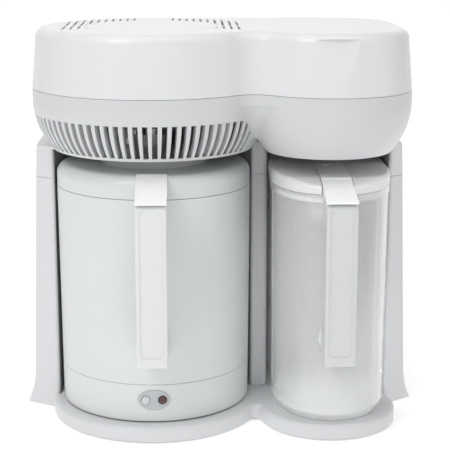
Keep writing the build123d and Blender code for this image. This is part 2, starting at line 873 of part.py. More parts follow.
def web_outline(inset, z, radius):
    """Outline of the web at a height: a fillet between both bowls, and two corners well inside them."""
    left, right = Vector(boiler_x, boiler_y), Vector(head_right_x, head_right_y)
    left_r, right_r = (bowl_radius(r, 0, z) for r in (head_left_r, head_right_r))
    across = right - left
    along = across.normalized()
    run = (across.length ** 2 + (left_r + radius) ** 2 - (right_r + radius) ** 2) / (2 * across.length)
    rise = math.sqrt((left_r + radius) ** 2 - run ** 2)
    axis = left + along * run + Vector(along.Y, -along.X) * rise
    hollow_r = radius + left_r - bowl_radius(head_left_r, inset, z) + web_step
    to_left, to_right = (left - axis).normalized(), (right - axis).normalized()
    middle = (to_left + to_right).normalized()
    front = [axis + way * hollow_r for way in (to_left, middle, to_right)]
    inner = [axis + (right - axis) * web_reach, axis + (left - axis) * web_reach]
    arc = ThreePointArc(*[(p.X, p.Y, z) for p in front])
    rest = Polyline((arc @ 1), *[(p.X, p.Y, z) for p in inner], (arc @ 0))
    return make_face(Curve([arc, rest]))


def valley_web(inset):
    """Fills the valley between both bowls: a fillet that gets smaller on the way down."""
    top = bowl_straight_z + beyond
    low = web_low_z + inset
    steps = 5
    sections = []
    for i in range(steps + 1):
        share = i / steps
        z = low + (top - low) * share
        level = min(z, bowl_straight_z)
        radius = web_low_r + (valley_r - web_low_r) * share ** 2
        sections.append(Pos(0, 0, z - level) * web_outline(inset, level, radius))
    return loft(sections)


def louvre_ribs():
    """A thicker wall behind the louvres, which makes their ribs deep."""
    low, high = louvre_low_z - rib_margin, louvre_top_z + rib_margin
    steps = 4
    heights = [low + (high - low) * i / steps for i in range(steps + 1)]
    outer = [(bowl_radius(head_left_r, head_wall / 2, z), z) for z in heights]
    inner = [(bowl_radius(head_left_r, rib_depth, z), z) for z in reversed(heights)]
    section = Plane.XZ * make_face(Polyline(*outer, *inner, close=True))
    start = louvre_first - louvre_pitch
    turn = louvre_last - start - rib_turn_left
    return Pos(boiler_x, boiler_y, 0) * Rot(0, 0, start) * revolve(section, Axis.Z, turn)


def louvre_slots():
    """The cuts between the ribs, all round the left bowl, which leave the right bowl and the web whole."""
    inner, outer = head_left_r - louvre_cut_in, head_left_r + louvre_cut_out
    slot = block(inner, outer, -louvre_width / 2, louvre_width / 2, louvre_low_z, louvre_top_z)
    count = int((louvre_last - louvre_first) / louvre_pitch) + 1
    angles = [louvre_first + louvre_pitch * i for i in range(count)]
    slots = [Pos(boiler_x, boiler_y, 0) * Rot(0, 0, angle) * slot for angle in angles]
    right = Plane.XZ * bowl_section(head_right_r, 0)
    keep = Pos(head_right_x, head_right_y, 0) * revolve(right, Axis.Z, -180) + valley_web(0)
    near = [s for cut in slots[-near_slots:] for s in (cut - keep).solids()]
    return Compound(slots[:-near_slots] + near)


def make_lower_housing():
    floor_low, floor_top = deck_top_z - beyond, deck_top_z + head_wall
    body = housing_form(0, head_seam_z - part_gap)
    body -= housing_form(head_wall, head_seam_z + beyond)
    body += louvre_ribs()
    body -= louvre_slots()
    for angle in bracket_angles:
        x, y = polar(boiler_x, boiler_y, fan_post_r, angle)
        body += post(x, y, fan_post_low_z, fan_post_top_z, fan_post_size)
        body -= post(x, y, fan_post_low_z + 4, fan_post_top_z + beyond, screw_shank_r + running_gap)
    body -= post(boiler_x, boiler_y, floor_low, floor_top + beyond, port_hole_r)
    body -= post(nozzle_x, nozzle_y, floor_low, floor_top + beyond, nozzle_r + seat_gap)
    for x, y in head_screw_places():
        body += post(x, y, floor_top - 0.5, deck_top_z + 18, boss_size)
        body -= post(x, y, floor_low, deck_top_z + 16, screw_shank_r + running_gap)
    return body - post(lead_hole_x, lead_hole_y, floor_low, floor_top + beyond, lead_hole_r)


def facet_cut(inset):
    """The half space in front of the tilted facet of the right lobe."""
    run = math.hypot(facet_high_y - facet_low_y, facet_high_z - facet_low_z)
    tilt = math.degrees(math.atan2(facet_high_y - facet_low_y, facet_high_z - facet_low_z))
    cutter = Box(facet_width, 40, 2 * run, align=(Align.CENTER, Align.MAX, Align.CENTER))
    return Pos(facet_x, facet_low_y + inset, facet_low_z) * Rot(-tilt, 0, 0) * cutter


def cover_form(inset, low_z, high_z, edge_r):
    """The tapered, round-edged block of the upper cover."""
    height = high_z - low_z
    body = extrude(Pos(0, 0, low_z) * head_plan(inset), height, taper=cover_taper)
    body = fillet(body.faces().sort_by(Axis.Z)[-1].edges(), edge_r)
    return body - facet_cut(inset)


def grille_runs(dx):
    """From where to where the slots of one line go, front to back, beside the bowl's axis."""
    outer = math.sqrt(grille_outer_r ** 2 - dx ** 2)
    inner = math.sqrt(max(0.0, grille_inner_r ** 2 - dx ** 2))
    clear = max(inner, grille_cross_rib / 2)
    front = max(-outer, dx * math.tan(math.radians(grille_front_angle)))
    runs = [(clear, outer), (front, -clear)]
    return [(low, high) for low, high in runs if high - low >= grille_least_slot]


def make_upper_cover():
    body = cover_form(0, head_seam_z, head_top_z, cover_edge_r)
    body -= cover_form(head_wall, head_seam_z, head_top_z - cover_wall_top, cover_edge_r - head_wall)
    slots = []
    count = int((grille_outer_r - grille_first_x) / grille_pitch)
    for step in range(count):
        dx = grille_first_x + step * grille_pitch
        for low_y, high_y in grille_runs(dx):
            bar = SlotOverall(high_y - low_y, grille_slot_width, rotation=90)
            solid = extrude(bar, 12)
            for side in (-1, 1):
                place = Pos(boiler_x + side * dx, boiler_y + (low_y + high_y) / 2, head_top_z - 8)
                slots.append(place * solid)
    body -= Compound(slots)
    half = groove_width / 2
    return body - ring(
        boiler_x, boiler_y, head_top_z - groove_depth, head_top_z + beyond, groove_r + half, groove_r - half
    )


def make_head_screws():
    z = deck_top_z - deck_thickness
    return [Pos(x, y, z) * screw(long_screw_length) for x, y in head_screw_places()]


# Condenser

def make_steam_bellows():
    top = deck_top_z
    low = lid_disc_z + part_gap
    middle = (top + low) / 2
    outer, inner = bellows_r, bellows_r - bellows_wall
    fold_low, fold_high = (low + middle) / 2, (top + middle) / 2
    points = [
        (inner, low), (outer, low), (outer - bellows_fold, fold_low), (outer, middle),
        (outer - bellows_fold, fold_high), (outer, top), (inner, top),
        (inner - bellows_fold, fold_high), (inner, middle), (inner - bellows_fold, fold_low),
    ]
    return turned_points(boiler_x, boiler_y, points)


def coil_shift():
    """Moves the spiral so that its outer turns lie round the axis of the bowl."""
    return -coil_riser_bend + coil_pitch / 8, coil_first_r - coil_pitch / 2


def make_steam_inlet():
    """Funnel over the steam outlet, with a flange on the floor and a neck for the coil."""
    sx, sy = coil_shift()
    floor = deck_top_z + head_wall
    roof = floor + funnel_height
    outer = port_hole_r - seat_gap
    inner = outer - funnel_wall
    flange_r = port_hole_r + 10
    body = turned_points(boiler_x, boiler_y, [
        (inner, deck_top_z + part_gap), (outer, deck_top_z + part_gap), (outer, floor), (flange_r, floor),
        (flange_r, floor + funnel_wall), (port_hole_r, floor + funnel_wall), (port_hole_r, roof),
        (0, roof), (0, roof - funnel_wall), (inner, roof - funnel_wall),
    ])
    x, y = boiler_x + sx, boiler_y + sy
    body += post(x, y, roof - funnel_wall / 2, coil_start_z(), coil_tube_r + 1.0)
    body -= post(x, y, roof - 2 * funnel_wall, coil_start_z() + beyond, coil_tube_r - 0.8)
    return body


def coil_start_z():
    return coil_z - coil_riser_bend - 0.5


def make_condenser_coil():
    """Steel tube: a riser, a bend, and a flat spiral of quarter turns that grow steadily."""
    sx, sy = coil_shift()
    x, y = boiler_x + sx, boiler_y + sy
    start = Vector(x, y, coil_start_z())
    bend_start = Vector(x, y, coil_z - coil_riser_bend)
    lean = coil_riser_bend * (1 - math.sqrt(0.5))
    bend_mid = Vector(x + lean, y, coil_z - lean)
    point = Vector(x + coil_riser_bend, y, coil_z)
    path = Curve() + Line(start, bend_start) + ThreePointArc(bend_start, bend_mid, point)
    heading = Vector(1, 0, 0)
    radius = coil_first_r
    half_turn = math.sqrt(0.5)
    samples = []
    for _ in range(4 * coil_turns):
        inward = Vector(heading.Y, -heading.X, 0)
        centre = point + inward * radius
        middle = centre - inward * radius * half_turn + heading * radius * half_turn
        end = centre + heading * radius
        path += ThreePointArc(point, middle, end)
        for part in range(8):
            a = math.radians(90 * part / 8)
            samples.append(centre - inward * radius * math.cos(a) + heading * radius * math.sin(a))
        heading = inward
        point = end
        radius += coil_pitch / 4
    tail = point + heading * coil_tail
    path += Line(point, tail)
    least = min((a - b).length for i, a in enumerate(samples) for b in samples[i + 16:])
    print("condenser coil, least gap to itself", round(least - 2 * coil_tube_r, 2))
    section = Plane(origin=start, z_dir=(0, 0, 1)) * Circle(coil_tube_r)
    return sweep(section, path=path), tail


def make_condenser_fins():
    """Upright fins that stand on the coil, all round its axis."""
    low = coil_z + coil_tube_r
    half = fin_thickness / 2
    fin = block(fin_inner_r, fin_outer_r, -half, half, low, low + fin_height)
    return [Pos(boiler_x, boiler_y, 0) * Rot(0, 0, 360 / fin_count * i) * fin for i in range(fin_count)]


def make_distillate_tube(tail):
    """Soft tube that carries on from the coil's tail and falls gently to the nozzle."""
    return wire(
        [
            (tail.X, tail.Y, tail.Z),
            (tail.X + 40, tail.Y, coil_z),
            (nozzle_x - 18, nozzle_y + 85, coil_z - 3),
            (nozzle_x, nozzle_y + 41, coil_z - 6),
            (nozzle_x, nozzle_y, coil_z - 8),
            (nozzle_x, nozzle_y, nozzle_spigot_z),
        ],
        distillate_tube_r,
    )


def make_drip_nozzle():
    floor = deck_top_z + head_wall
    flange_top = floor + 2
    spigot_r = distillate_tube_r
    return turned_points(nozzle_x, nozzle_y, [
        (nozzle_bore_r, nozzle_low_z), (nozzle_r - 2, nozzle_low_z), (nozzle_r, nozzle_low_z + 3),
        (nozzle_r, floor), (nozzle_flange_r, floor), (nozzle_flange_r, flange_top),
        (spigot_r, flange_top), (spigot_r, nozzle_spigot_z), (nozzle_bore_r, nozzle_spigot_z),
    ])


# Fan

def make_fan_bracket():
    low = fan_post_top_z + part_gap
    high = low + bracket_thickness
    body = post(boiler_x, boiler_y, low, high, bracket_hub_r)
    for angle in bracket_angles:
        arm = block(0, fan_post_r, -bracket_arm_width / 2, bracket_arm_width / 2, low, high)
        body += Pos(boiler_x, boiler_y, 0) * Rot(0, 0, angle) * arm
    for angle in bracket_angles:
        x, y = polar(boiler_x, boiler_y, fan_post_r, angle)
        body -= post(x, y, low - 1, high + 1, screw_shank_r + part_gap)
    body -= post(boiler_x, boiler_y, low - 1, high + 1, shaft_r + 3)
    return body


def make_bracket_screws():
    z = motor_low_z
    one = Rot(180, 0, 0) * screw(12.0)
    return [Pos(*polar(boiler_x, boiler_y, fan_post_r, a), z) * one for a in bracket_angles]


def make_fan_motor():
    top = motor_low_z + motor_height
    body = post(boiler_x, boiler_y, motor_low_z, top - motor_step, motor_r)
    body += post(boiler_x, boiler_y, top - motor_step, top, motor_r - 3)
    body = fillet(body.faces().sort_by(Axis.Z)[-1].edges(), 1.0)
    bore_z = top - shaft_depth - 0.5
    return body - post(boiler_x, boiler_y, bore_z, top + beyond, shaft_r + running_gap)


def make_fan_shaft():
    top = motor_low_z + motor_height
    return post(boiler_x, boiler_y, top - shaft_depth, impeller_low_z + impeller_height, shaft_r)


def make_fan_impeller():
    top = impeller_low_z + impeller_height
    middle = (impeller_low_z + top) / 2
    sleeve_z = impeller_low_z + 6
    sleeve_r = shaft_r + 4
    inner = impeller_hub_r - impeller_wall
    roof = top - impeller_wall - 1
    hub = turned_points(boiler_x, boiler_y, [
        (shaft_r, sleeve_z), (sleeve_r, sleeve_z), (sleeve_r, roof), (inner, roof),
        (inner, impeller_low_z), (impeller_hub_r, impeller_low_z), (impeller_hub_r, top - 1),
        (impeller_hub_r - 1, top), (shaft_r, top),
    ])
    length = impeller_tip_r - impeller_hub_r + 1
    blade = Pos(impeller_hub_r - 1 + length / 2, 0, middle) * Rot(blade_pitch, 0, 0) * Box(
        length, blade_chord, blade_thickness
    )
    slab = post(boiler_x, boiler_y, impeller_low_z, top, impeller_tip_r)
    for i in range(blade_count):
        hub += (Pos(boiler_x, boiler_y, 0) * Rot(0, 0, 360 / blade_count * i) * blade) & slab
    return hub


# Boiler

def boiler_radius(z):
    """Outer radius of the boiler: it widens a little towards the lid."""
    share = (z - boiler_foot_z) / (boiler_rim_z - boiler_foot_z)
    return boiler_foot_r + (boiler_top_r - boiler_foot_r) * share


def boiler_cone(z0, z1, grow):
    points = [(0, z0), (boiler_radius(z0) + grow, z0), (boiler_radius(z1) + grow, z1), (0, z1)]
    return turned_points(boiler_x, boiler_y, points)


def handle_screw_places():
    """Two screws in the middle of each arm."""
    low = handle_low_z + lower_arm_height / 2
    high = handle_top_z - 18.0
    return [(boiler_x + dx, z) for z in (low, high) for dx in (-handle_screw_dx, handle_screw_dx)]


def make_boiler_jacket():
    low = boiler_seam_z + part_gap
    body = boiler_cone(low, boiler_rim_z, 0)
    body -= boiler_cone(low - beyond, vessel_flange_z, -jacket_wall)
    body -= boiler_cone(vessel_flange_z, boiler_rim_z + beyond, -rim_wall)
    for x, z in handle_screw_places():
        body -= bar_y(x, z, handle_front_y, boiler_y - boiler_foot_r / 2, screw_shank_r + part_gap)
    return body


def make_boiler_vessel():
    inner = vessel_r - vessel_wall
    flange_r = boiler_radius(vessel_flange_z) - rim_wall - seat_gap
    top = vessel_flange_z + vessel_flange_thickness
    low, floor = vessel_floor_z, vessel_floor_z + vessel_wall
    return turned_points(boiler_x, boiler_y, [
        (0, low), (vessel_r - vessel_edge, low), (vessel_r, low + vessel_edge), (vessel_r, vessel_flange_z),
        (flange_r, vessel_flange_z), (flange_r, top), (inner, top), (inner, floor + vessel_edge),
        (inner - vessel_edge, floor), (0, floor),
    ])


def make_boiler_base_band():
    body = boiler_cone(boiler_foot_z, boiler_seam_z, 0)
    body -= boiler_cone(boiler_foot_z - beyond, boiler_seam_z + beyond, -boiler_wall)
    body -= bar_y(boiler_x + button_offset, plate_z, handle_front_y, boiler_y, button_r + part_gap)
    body -= bar_y(boiler_x + lamp_offset, plate_z, handle_front_y, boiler_y, lamp_r + seat_gap)
    half_w = plug_width / 2 - plug_step + seat_gap
    half_h = plug_height / 2 - plug_step + seat_gap
    x0, x1 = boiler_x - half_w, boiler_x + half_w
    body -= block(x0, x1, boiler_y, stand_rear_y, plug_z - half_h, plug_z + half_h)
    keep_in = boiler_cone(boiler_foot_z, boiler_seam_z, -1)
    for x, y in bottom_screw_places():
        pad = post(x, y, boiler_foot_z + bottom_cover_thickness + part_gap, boiler_foot_z + 16, boss_size)
        body += pad & keep_in
        body -= post(x, y, boiler_foot_z, boiler_foot_z + 14, screw_shank_r + running_gap)
    return body


def bottom_screw_places():
    r = boiler_foot_r - boiler_wall - 3.5
    return [polar(boiler_x, boiler_y, r, a) for a in (30, 150, 210, 330)]


def make_boiler_bottom_cover():
    r = boiler_foot_r - boiler_wall - part_gap
    top = boiler_foot_z + bottom_cover_thickness
    body = post(boiler_x, boiler_y, boiler_foot_z, top, r)
    for x, y in bottom_screw_places():
        body -= post(x, y, boiler_foot_z - beyond, top + beyond, screw_shank_r + part_gap)
    return body


def make_bottom_cover_screws():
    small = post(0, 0, 0, 12, screw_shank_r) + post(0, 0, -small_head, 0, screw_head_r)
    return [Pos(x, y, boiler_foot_z) * small for x, y in bottom_screw_places()]


def make_glide_pads():
    low = base_top_z + part_gap
    r = boiler_foot_r - 23.0
    places = [polar(boiler_x, boiler_y, r, a) for a in (45, 135, 225, 315)]
    return [post(x, y, low, boiler_foot_z, glide_pad_r) for x, y in places]


def make_heating_element():
    """Sheathed element under the vessel: most of a circle, with both ends turned down."""
    z = vessel_floor_z - element_tube_r
    first, last = 90 + element_half_gap, 450 - element_half_gap
    start = Vector(*polar(boiler_x, boiler_y, element_r, first), z)
    end = Vector(*polar(boiler_x, boiler_y, element_r, last), z)
    middle = Vector(*polar(boiler_x, boiler_y, element_r, (first + last) / 2), z)
    path = ThreePointArc(start, middle, end)
    body = sweep(Plane(origin=path @ 0, z_dir=path % 0) * Circle(element_tube_r), path=path)
    for point in (start, end):
        body += Pos(point) * Sphere(element_tube_r)
        body += post(point.X, point.Y, z - terminal_length, z, terminal_r)
    return body


def make_thermostat():
    """Snap-disc thermostat under the middle of the vessel, with two blades."""
    body = post(boiler_x, boiler_y, vessel_floor_z - 12, vessel_floor_z, thermostat_r)
    body += post(boiler_x, boiler_y, vessel_floor_z - 2, vessel_floor_z, thermostat_flange_r)
    blade = block(-0.4, 0.4, -3, 3, -20, -11)
    for dx in (-5, 5):
        body += Pos(boiler_x + dx, boiler_y, vessel_floor_z) * blade
    return body


def make_thermal_fuse():
    """Fuse tube against the vessel's floor, and the clip that holds it."""
    place = Pos(boiler_x, fuse_y, vessel_floor_z - fuse_r)
    tube = Rot(0, 90, 0) * Cylinder(fuse_r, fuse_length)
    room = fuse_r + running_gap
    clip = block(-3, 3, -7, 7, -fuse_r - 0.8, fuse_r)
    clip -= Rot(0, 90, 0) * Cylinder(room, fuse_length)
    clip -= block(-4, 4, -room, room, 0, fuse_r + beyond)
    for side in (-1, 1):
        clip -= Pos(0, side * 6.25, -1) * Box(8, 3.5, 2 * fuse_r)
    return [place * tube, place * clip]


def make_boiler_leads():
    """Leads from the plug to the two ends of the element."""
    leads = []
    y0 = plug_inner_y()
    z0 = plug_z - 4
    z1 = vessel_floor_z - element_tube_r - terminal_length
    for side in (-1, 1):
        x0 = boiler_x + side * 8
        x1, y1 = polar(boiler_x, boiler_y, element_r, 90 - side * element_half_gap)
        leads.append(wire([(x0, y0, z0), (x0, y0 - 8, z0), (x1, y1, z0 + 2), (x1, y1, z1)], boiler_lead_r))
    return leads


def plug_inner_y():
    return boiler_y + boiler_foot_r + plug_proud - plug_depth


def make_boiler_connector():
    y1 = boiler_y + boiler_foot_r + plug_proud
    half_w = plug_width / 2 - plug_step
    half_h = plug_height / 2 - plug_step
    body = block(boiler_x - half_w, boiler_x + half_w, plug_inner_y(), y1, plug_z - half_h, plug_z + half_h)
    for x in pin_places():
        body -= bar_y(x, plug_z, y1 - pin_root, y1 + beyond, plug_pin_r + running_gap)
    return body


def make_connector_pins():
    y1 = boiler_y + boiler_foot_r + plug_proud
    return [bar_y(x, plug_z, y1 - pin_root, y1 + pin_reach, plug_pin_r) for x in pin_places()]


# Handles and tabs

def strap_handle(x, rear):
    """A strap handle: a flat grip with a shallow field, and an arm at each end."""
    middle_y = (handle_front_y + rear) / 2
    outer = Pos(middle_y, (handle_low_z + handle_top_z) / 2) * Rectangle(
        rear - handle_front_y, handle_top_z - handle_low_z
    )
    outer = fillet([v for v in outer.vertices() if v.X < middle_y], handle_corner_r)
    gap_front = handle_front_y + grip_thickness
    gap_low, gap_high = handle_low_z + lower_arm_height, handle_top_z - upper_arm_height
    inner = Pos((gap_front + rear + 20) / 2, (gap_low + gap_high) / 2) * Rectangle(
        rear + 20 - gap_front, gap_high - gap_low
    )
    inner = fillet([v for v in inner.vertices() if v.X < middle_y], handle_inner_r)
    body = Pos(x - handle_width / 2, 0, 0) * extrude(Plane.YZ * (outer - inner), handle_width, dir=(1, 0, 0))
    long_edges = [
        e for e in body.edges()
        if abs(e.center().Y - handle_front_y) < 0.01 and e.bounding_box().size.Z > 50
    ]
    body = fillet(long_edges, grip_edge_r)
    field_height = handle_top_z - handle_low_z - 4 * grip_rim
    field = RectangleRounded(handle_width - 2 * grip_rim, field_height, field_corner_r)
    centre_z = (handle_top_z + handle_low_z) / 2 + grip_rim
    return body - Pos(x, handle_front_y + grip_recess, centre_z) * Rot(90, 0, 0) * extrude(field, 5)


def make_boiler_handle():
    body = strap_handle(boiler_x, boiler_y)
    body -= boiler_cone(boiler_foot_z, boiler_rim_z + 10, seat_gap)
    for x, z in handle_screw_places():
        wall_y = boiler_y - boiler_radius(z)
        body -= bar_y(x, z, wall_y - 12, wall_y + 10, screw_shank_r + running_gap)
    return body


def make_boiler_handle_screws():
    screws = []
    for x, z in handle_screw_places():
        reach = math.sqrt((boiler_radius(z) - jacket_wall) ** 2 - (x - boiler_x) ** 2)
        seat_y = boiler_y - reach + 0.5
        shank = bar_y(x, z, seat_y - long_screw_length, seat_y, screw_shank_r)
        screws.append(shank + bar_y(x, z, seat_y, seat_y + 1.4, small_head_r))
    return screws


def tab_form(x, width, rear_y, rear_z, grow):
    """The sloping tab over a handle, as a bar from the lid to the handle's front."""
    low_z = handle_top_z + tab_gap - grow
    points = [
        (rear_y, rear_z + grow), (handle_front_y + tab_lip - grow, tab_front_z + grow),
        (handle_front_y - grow, tab_front_z - 0.8), (handle_front_y - grow, low_z),
        (handle_front_y + tab_root, low_z), (rear_y, rear_z - tab_thickness - grow),
    ]
    face = make_face(Plane.YZ * Polyline(*points, close=True))
    return Pos(x - width / 2 - grow, 0, 0) * extrude(face, width + 2 * grow, dir=(1, 0, 0))


# Boiler lid

def lid_form(grow):
    """Outer form of the boiler lid: a round shoulder and a raised disc."""
    r = lid_r + grow
    top = lid_top_z + grow
    low = lid_low_z - grow
    inner = r - lid_shoulder_r
    half_turn = math.sqrt(0.5)
    middle = (inner + lid_shoulder_r * half_turn, lid_side_z + (top - lid_side_z) * half_turn)
    side = Line((r, low), (r, lid_side_z))
    shoulder = ThreePointArc((r, lid_side_z), middle, (inner, top))
    rest = Polyline(
        (inner, top), (lid_disc_r + grow, top), (lid_disc_r - 0.5 + grow, lid_disc_z),
        (0, lid_disc_z), (0, low), (r, low),
    )
    face = make_face(Plane.XZ * Curve([side, shoulder, rest]))
    return Pos(boiler_x, boiler_y, 0) * revolve(face, Axis.Z, 360)


def make_boiler_lid():
    body = lid_form(0)
    body += post(boiler_x, boiler_y, lid_plug_z, lid_low_z, lid_plug_r)
    body -= post(boiler_x, boiler_y, lid_plug_z - beyond, lid_top_z - lid_roof, lid_plug_r - lid_plug_wall)
    body -= post(boiler_x, boiler_y, lid_plug_z, lid_disc_z - lid_wall, lid_disc_r - lid_wall)
    body -= post(boiler_x, boiler_y, lid_plug_z, lid_disc_z + beyond, steam_tube_r + seat_gap)
    lip_r = steam_tube_r + steam_lip + seat_gap
    return body - post(boiler_x, boiler_y, lid_disc_z - steam_lip_thickness, lid_disc_z + beyond, lip_r)


def make_lid_liner():
    """Thin steel disc that closes the lid from below."""
    r = lid_plug_r - lid_plug_wall - seat_gap
    z = lid_plug_z + 3
    return ring(boiler_x, boiler_y, z, z + liner_thickness, r, steam_tube_r + seat_gap)


def make_lid_gasket():
    low = vessel_flange_z + vessel_flange_thickness + part_gap
    outer = lid_plug_r + part_gap
    return ring(boiler_x, boiler_y, low, lid_plug_z, outer, outer - gasket_width)


def make_steam_outlet():
    """Steam tube through the lid, hung by a lip that lies flush in the raised disc."""
    lip = steam_tube_r + steam_lip
    seat = steam_tube_top_z - steam_lip_thickness
    return turned_points(boiler_x, boiler_y, [
        (steam_bore_r, steam_tube_low_z), (steam_tube_r, steam_tube_low_z), (steam_tube_r, seat),
        (lip, seat), (lip, steam_tube_top_z), (steam_bore_r, steam_tube_top_z),
    ])


def make_lid_tab():
    body = tab_form(boiler_x, handle_width, tab_rear_y, tab_rear_z, 0)
    body -= lid_form(seat_gap)
    return body


# Control plate, lamp, switch and button

def make_control_plate():
    """Thin oval plate that follows the curve of the base band."""
    oval = extrude(Ellipse(plate_width / 2, plate_height / 2), boiler_foot_r)
    body = Pos(boiler_x, boiler_y - boiler_foot_r / 2, plate_z) * Rot(90, 0, 0) * oval
    z0, z1 = plate_z - plate_height, plate_z + plate_height
    body = body & boiler_cone(z0, z1, plate_proud + seat_gap)
    body -= boiler_cone(z0 - beyond, z1 + beyond, seat_gap)
    body -= bar_y(boiler_x + button_offset, plate_z, handle_front_y, boiler_y, button_r + part_gap)
    body -= bar_y(boiler_x + lamp_offset, plate_z, handle_front_y, boiler_y, lamp_r + seat_gap)
    return body


def band_front_y(dx):
    """Where the front of the base band is, at a distance from the middle."""
    return boiler_y - math.sqrt(boiler_radius(plate_z) ** 2 - dx ** 2)


def make_indicator_lamp():
    front = band_front_y(lamp_offset) - plate_proud - lamp_proud
    x = boiler_x + lamp_offset
    lens = bar_y(x, plate_z, front, front + 6, lamp_r)
    lens = fillet(lens.faces().sort_by(Axis.Y)[0].edges(), 1.2)
    return lens + bar_y(x, plate_z, front + 5, switch_front_y(), lamp_stem_r)


def switch_front_y():
    return boiler_y - boiler_foot_r + 16


def make_start_switch():
    """Switch block behind the plate, standing on the bottom cover."""
    y0 = switch_front_y()
    x0, x1 = boiler_x - switch_half_width, boiler_x + switch_half_width
    low = boiler_foot_z + bottom_cover_thickness
    body = block(x0, x1, y0, y0 + switch_depth, low, plate_z + switch_rise)
    return body - bar_y(boiler_x + button_offset, plate_z, y0 - beyond, y0 + 8, button_stem_r + part_gap)


def make_start_button():
    x = boiler_x + button_offset
    front = band_front_y(button_offset) - plate_proud - button_proud
    cap = bar_y(x, plate_z, front, front + button_cap, button_r)
    cap = fillet(cap.faces().sort_by(Axis.Y)[0].edges(), 1.0)
    return cap + bar_y(x, plate_z, front + button_cap - 1, switch_front_y() + 3, button_stem_r)


def make_button_spring():
    """Coil spring round the button's stem: a helix of round wire."""
    x = boiler_x + button_offset
    front = band_front_y(button_offset) - plate_proud - button_proud + button_cap
    mean_r = button_stem_r + 3 * spring_wire_r
    room = switch_front_y() - front - 4 * spring_wire_r
    pitch = room / spring_turns
    helix = Helix(pitch=pitch, height=room, radius=mean_r)
    print("button spring, least gap to itself", round(pitch - 2 * spring_wire_r, 2))
    body = sweep(Plane(origin=helix @ 0, z_dir=helix % 0) * Circle(spring_wire_r), path=helix)
    return Pos(x, switch_front_y() - 2 * spring_wire_r, plate_z) * Rot(90, 0, 0) * body


# Carafe

def carafe_plan(inset, draft):
    """Plan of the carafe: a nose of three arcs, straight sides and a round-cornered rear."""
    half = carafe_half_width - inset - draft
    nose = carafe_nose - inset - draft
    side_r = carafe_side_r - inset - draft
    shift = side_r - half
    nose_r = (side_r ** 2 - shift ** 2 - nose ** 2) / (2 * (side_r - nose))
    nose_y = -nose + nose_r
    away = Vector(shift, nose_y)
    touch = away * (nose_r / away.length)
    join = Vector(touch.X, nose_y + touch.Y)
    angle = math.atan2(join.Y, join.X + shift) / 2
    mid = Vector(-shift + side_r * math.cos(angle), side_r * math.sin(angle))
    rear = carafe_rear_y - carafe_y - inset - draft
    corner = carafe_rear_r - inset
    right_side = ThreePointArc((half, 0), (mid.X, mid.Y), (join.X, join.Y))
    tip = ThreePointArc((join.X, join.Y), (0, -nose), (-join.X, join.Y))
    left_side = mirror(right_side, Plane.YZ)
    k = corner * (1 - math.sqrt(0.5))
    lines = [
        right_side, tip, left_side,
        Line((half, 0), (half, rear - corner)),
        ThreePointArc((half, rear - corner), (half - k, rear - k), (half - corner, rear)),
        Line((half - corner, rear), (corner - half, rear)),
        ThreePointArc((corner - half, rear), (k - half, rear - k), (-half, rear - corner)),
        Line((-half, rear - corner), (-half, 0)),
    ]
    return Pos(carafe_x, carafe_y) * make_face(Curve(lines))


def carafe_form(inset, z0, z1):
    """The carafe's tapered block, between two heights."""
    def draft(z):
        return carafe_draft * (carafe_rim_z - z) / (carafe_rim_z - carafe_low_z)
    low = Pos(0, 0, z0) * carafe_plan(inset, draft(z0))
    high = Pos(0, 0, z1) * carafe_plan(inset, draft(z1))
    return loft([low, high], ruled=True)


def make_carafe_body():
    body = carafe_form(0, carafe_low_z, carafe_rim_z)
    body = fillet(body.faces().sort_by(Axis.Z)[0].edges(), carafe_edge_r)
    body += upright(carafe_plan(-carafe_collar, 0), carafe_collar_z, carafe_rim_z)
    return body - carafe_form(carafe_wall, carafe_low_z + carafe_floor, carafe_rim_z + beyond)


def make_carafe_handle():
    body = strap_handle(carafe_x, carafe_y)
    keep_out = carafe_form(-seat_gap, carafe_low_z, carafe_rim_z + 10)
    keep_out += upright(carafe_plan(-carafe_collar - seat_gap, 0), carafe_collar_z - 2, carafe_rim_z + 10)
    body -= keep_out
    return body - boss_form(seat_gap)


def boss_form(grow):
    """Round boss on the carafe's front wall, where the lower arm meets it."""
    front = carafe_y - carafe_nose - boss_thickness
    body = bar_y(carafe_x, boss_z, front - grow, carafe_y, boss_r + grow)
    return body - carafe_form(-seat_gap, carafe_low_z, carafe_rim_z)


def make_carafe_boss():
    body = boss_form(0)
    face = body.faces().sort_by(Axis.Y)[0]
    return fillet(face.edges(), 2.0)


# Carafe lid

def strip_form(grow, line):
    """Centre strip of the carafe lid, which runs on as the tab over the handle."""
    top = carafe_lid_top_z + strip_proud
    low = top - strip_thickness
    half = handle_width / 2 + grow + line
    x0, x1 = carafe_x - half, carafe_x + half
    flat = block(x0, x1, strip_bend_y - 6, strip_rear_y + grow, low - grow, top + 10 * grow)
    slope = tab_form(carafe_x, handle_width + 2 * line, strip_bend_y, top, grow)
    return flat + slope


def lid_slope_cut():
    """The room over the sloped front of the carafe lid, which keeps in line with its tab."""
    run = strip_bend_y - handle_front_y - tab_lip
    fall = carafe_lid_top_z + strip_proud - tab_front_z
    over = carafe_lid_top_z + 2 * beyond
    points = [
        (strip_bend_y, carafe_lid_top_z), (strip_bend_y, over), (strip_bend_y - run, over),
        (strip_bend_y - run, carafe_lid_top_z - fall),
    ]
    face = make_face(Plane.YZ * Polyline(*points, close=True))
    return Pos(carafe_x - carafe_side_r, 0, 0) * extrude(face, 2 * carafe_side_r, dir=(1, 0, 0))


def lid_rim(body):
    """The upper edges all round the carafe lid, without the two lines across it at the bend."""
    rim = []
    for face in body.faces():
        if face.normal_at().Z < 0.9:
            continue
        for edge in face.edges():
            place = edge.center()
            across = edge.bounding_box().size.Y < 0.01 and place.Y < carafe_y
            if not across and all((place - other.center()).length > 0.01 for other in rim):
                rim.append(edge)
    return rim


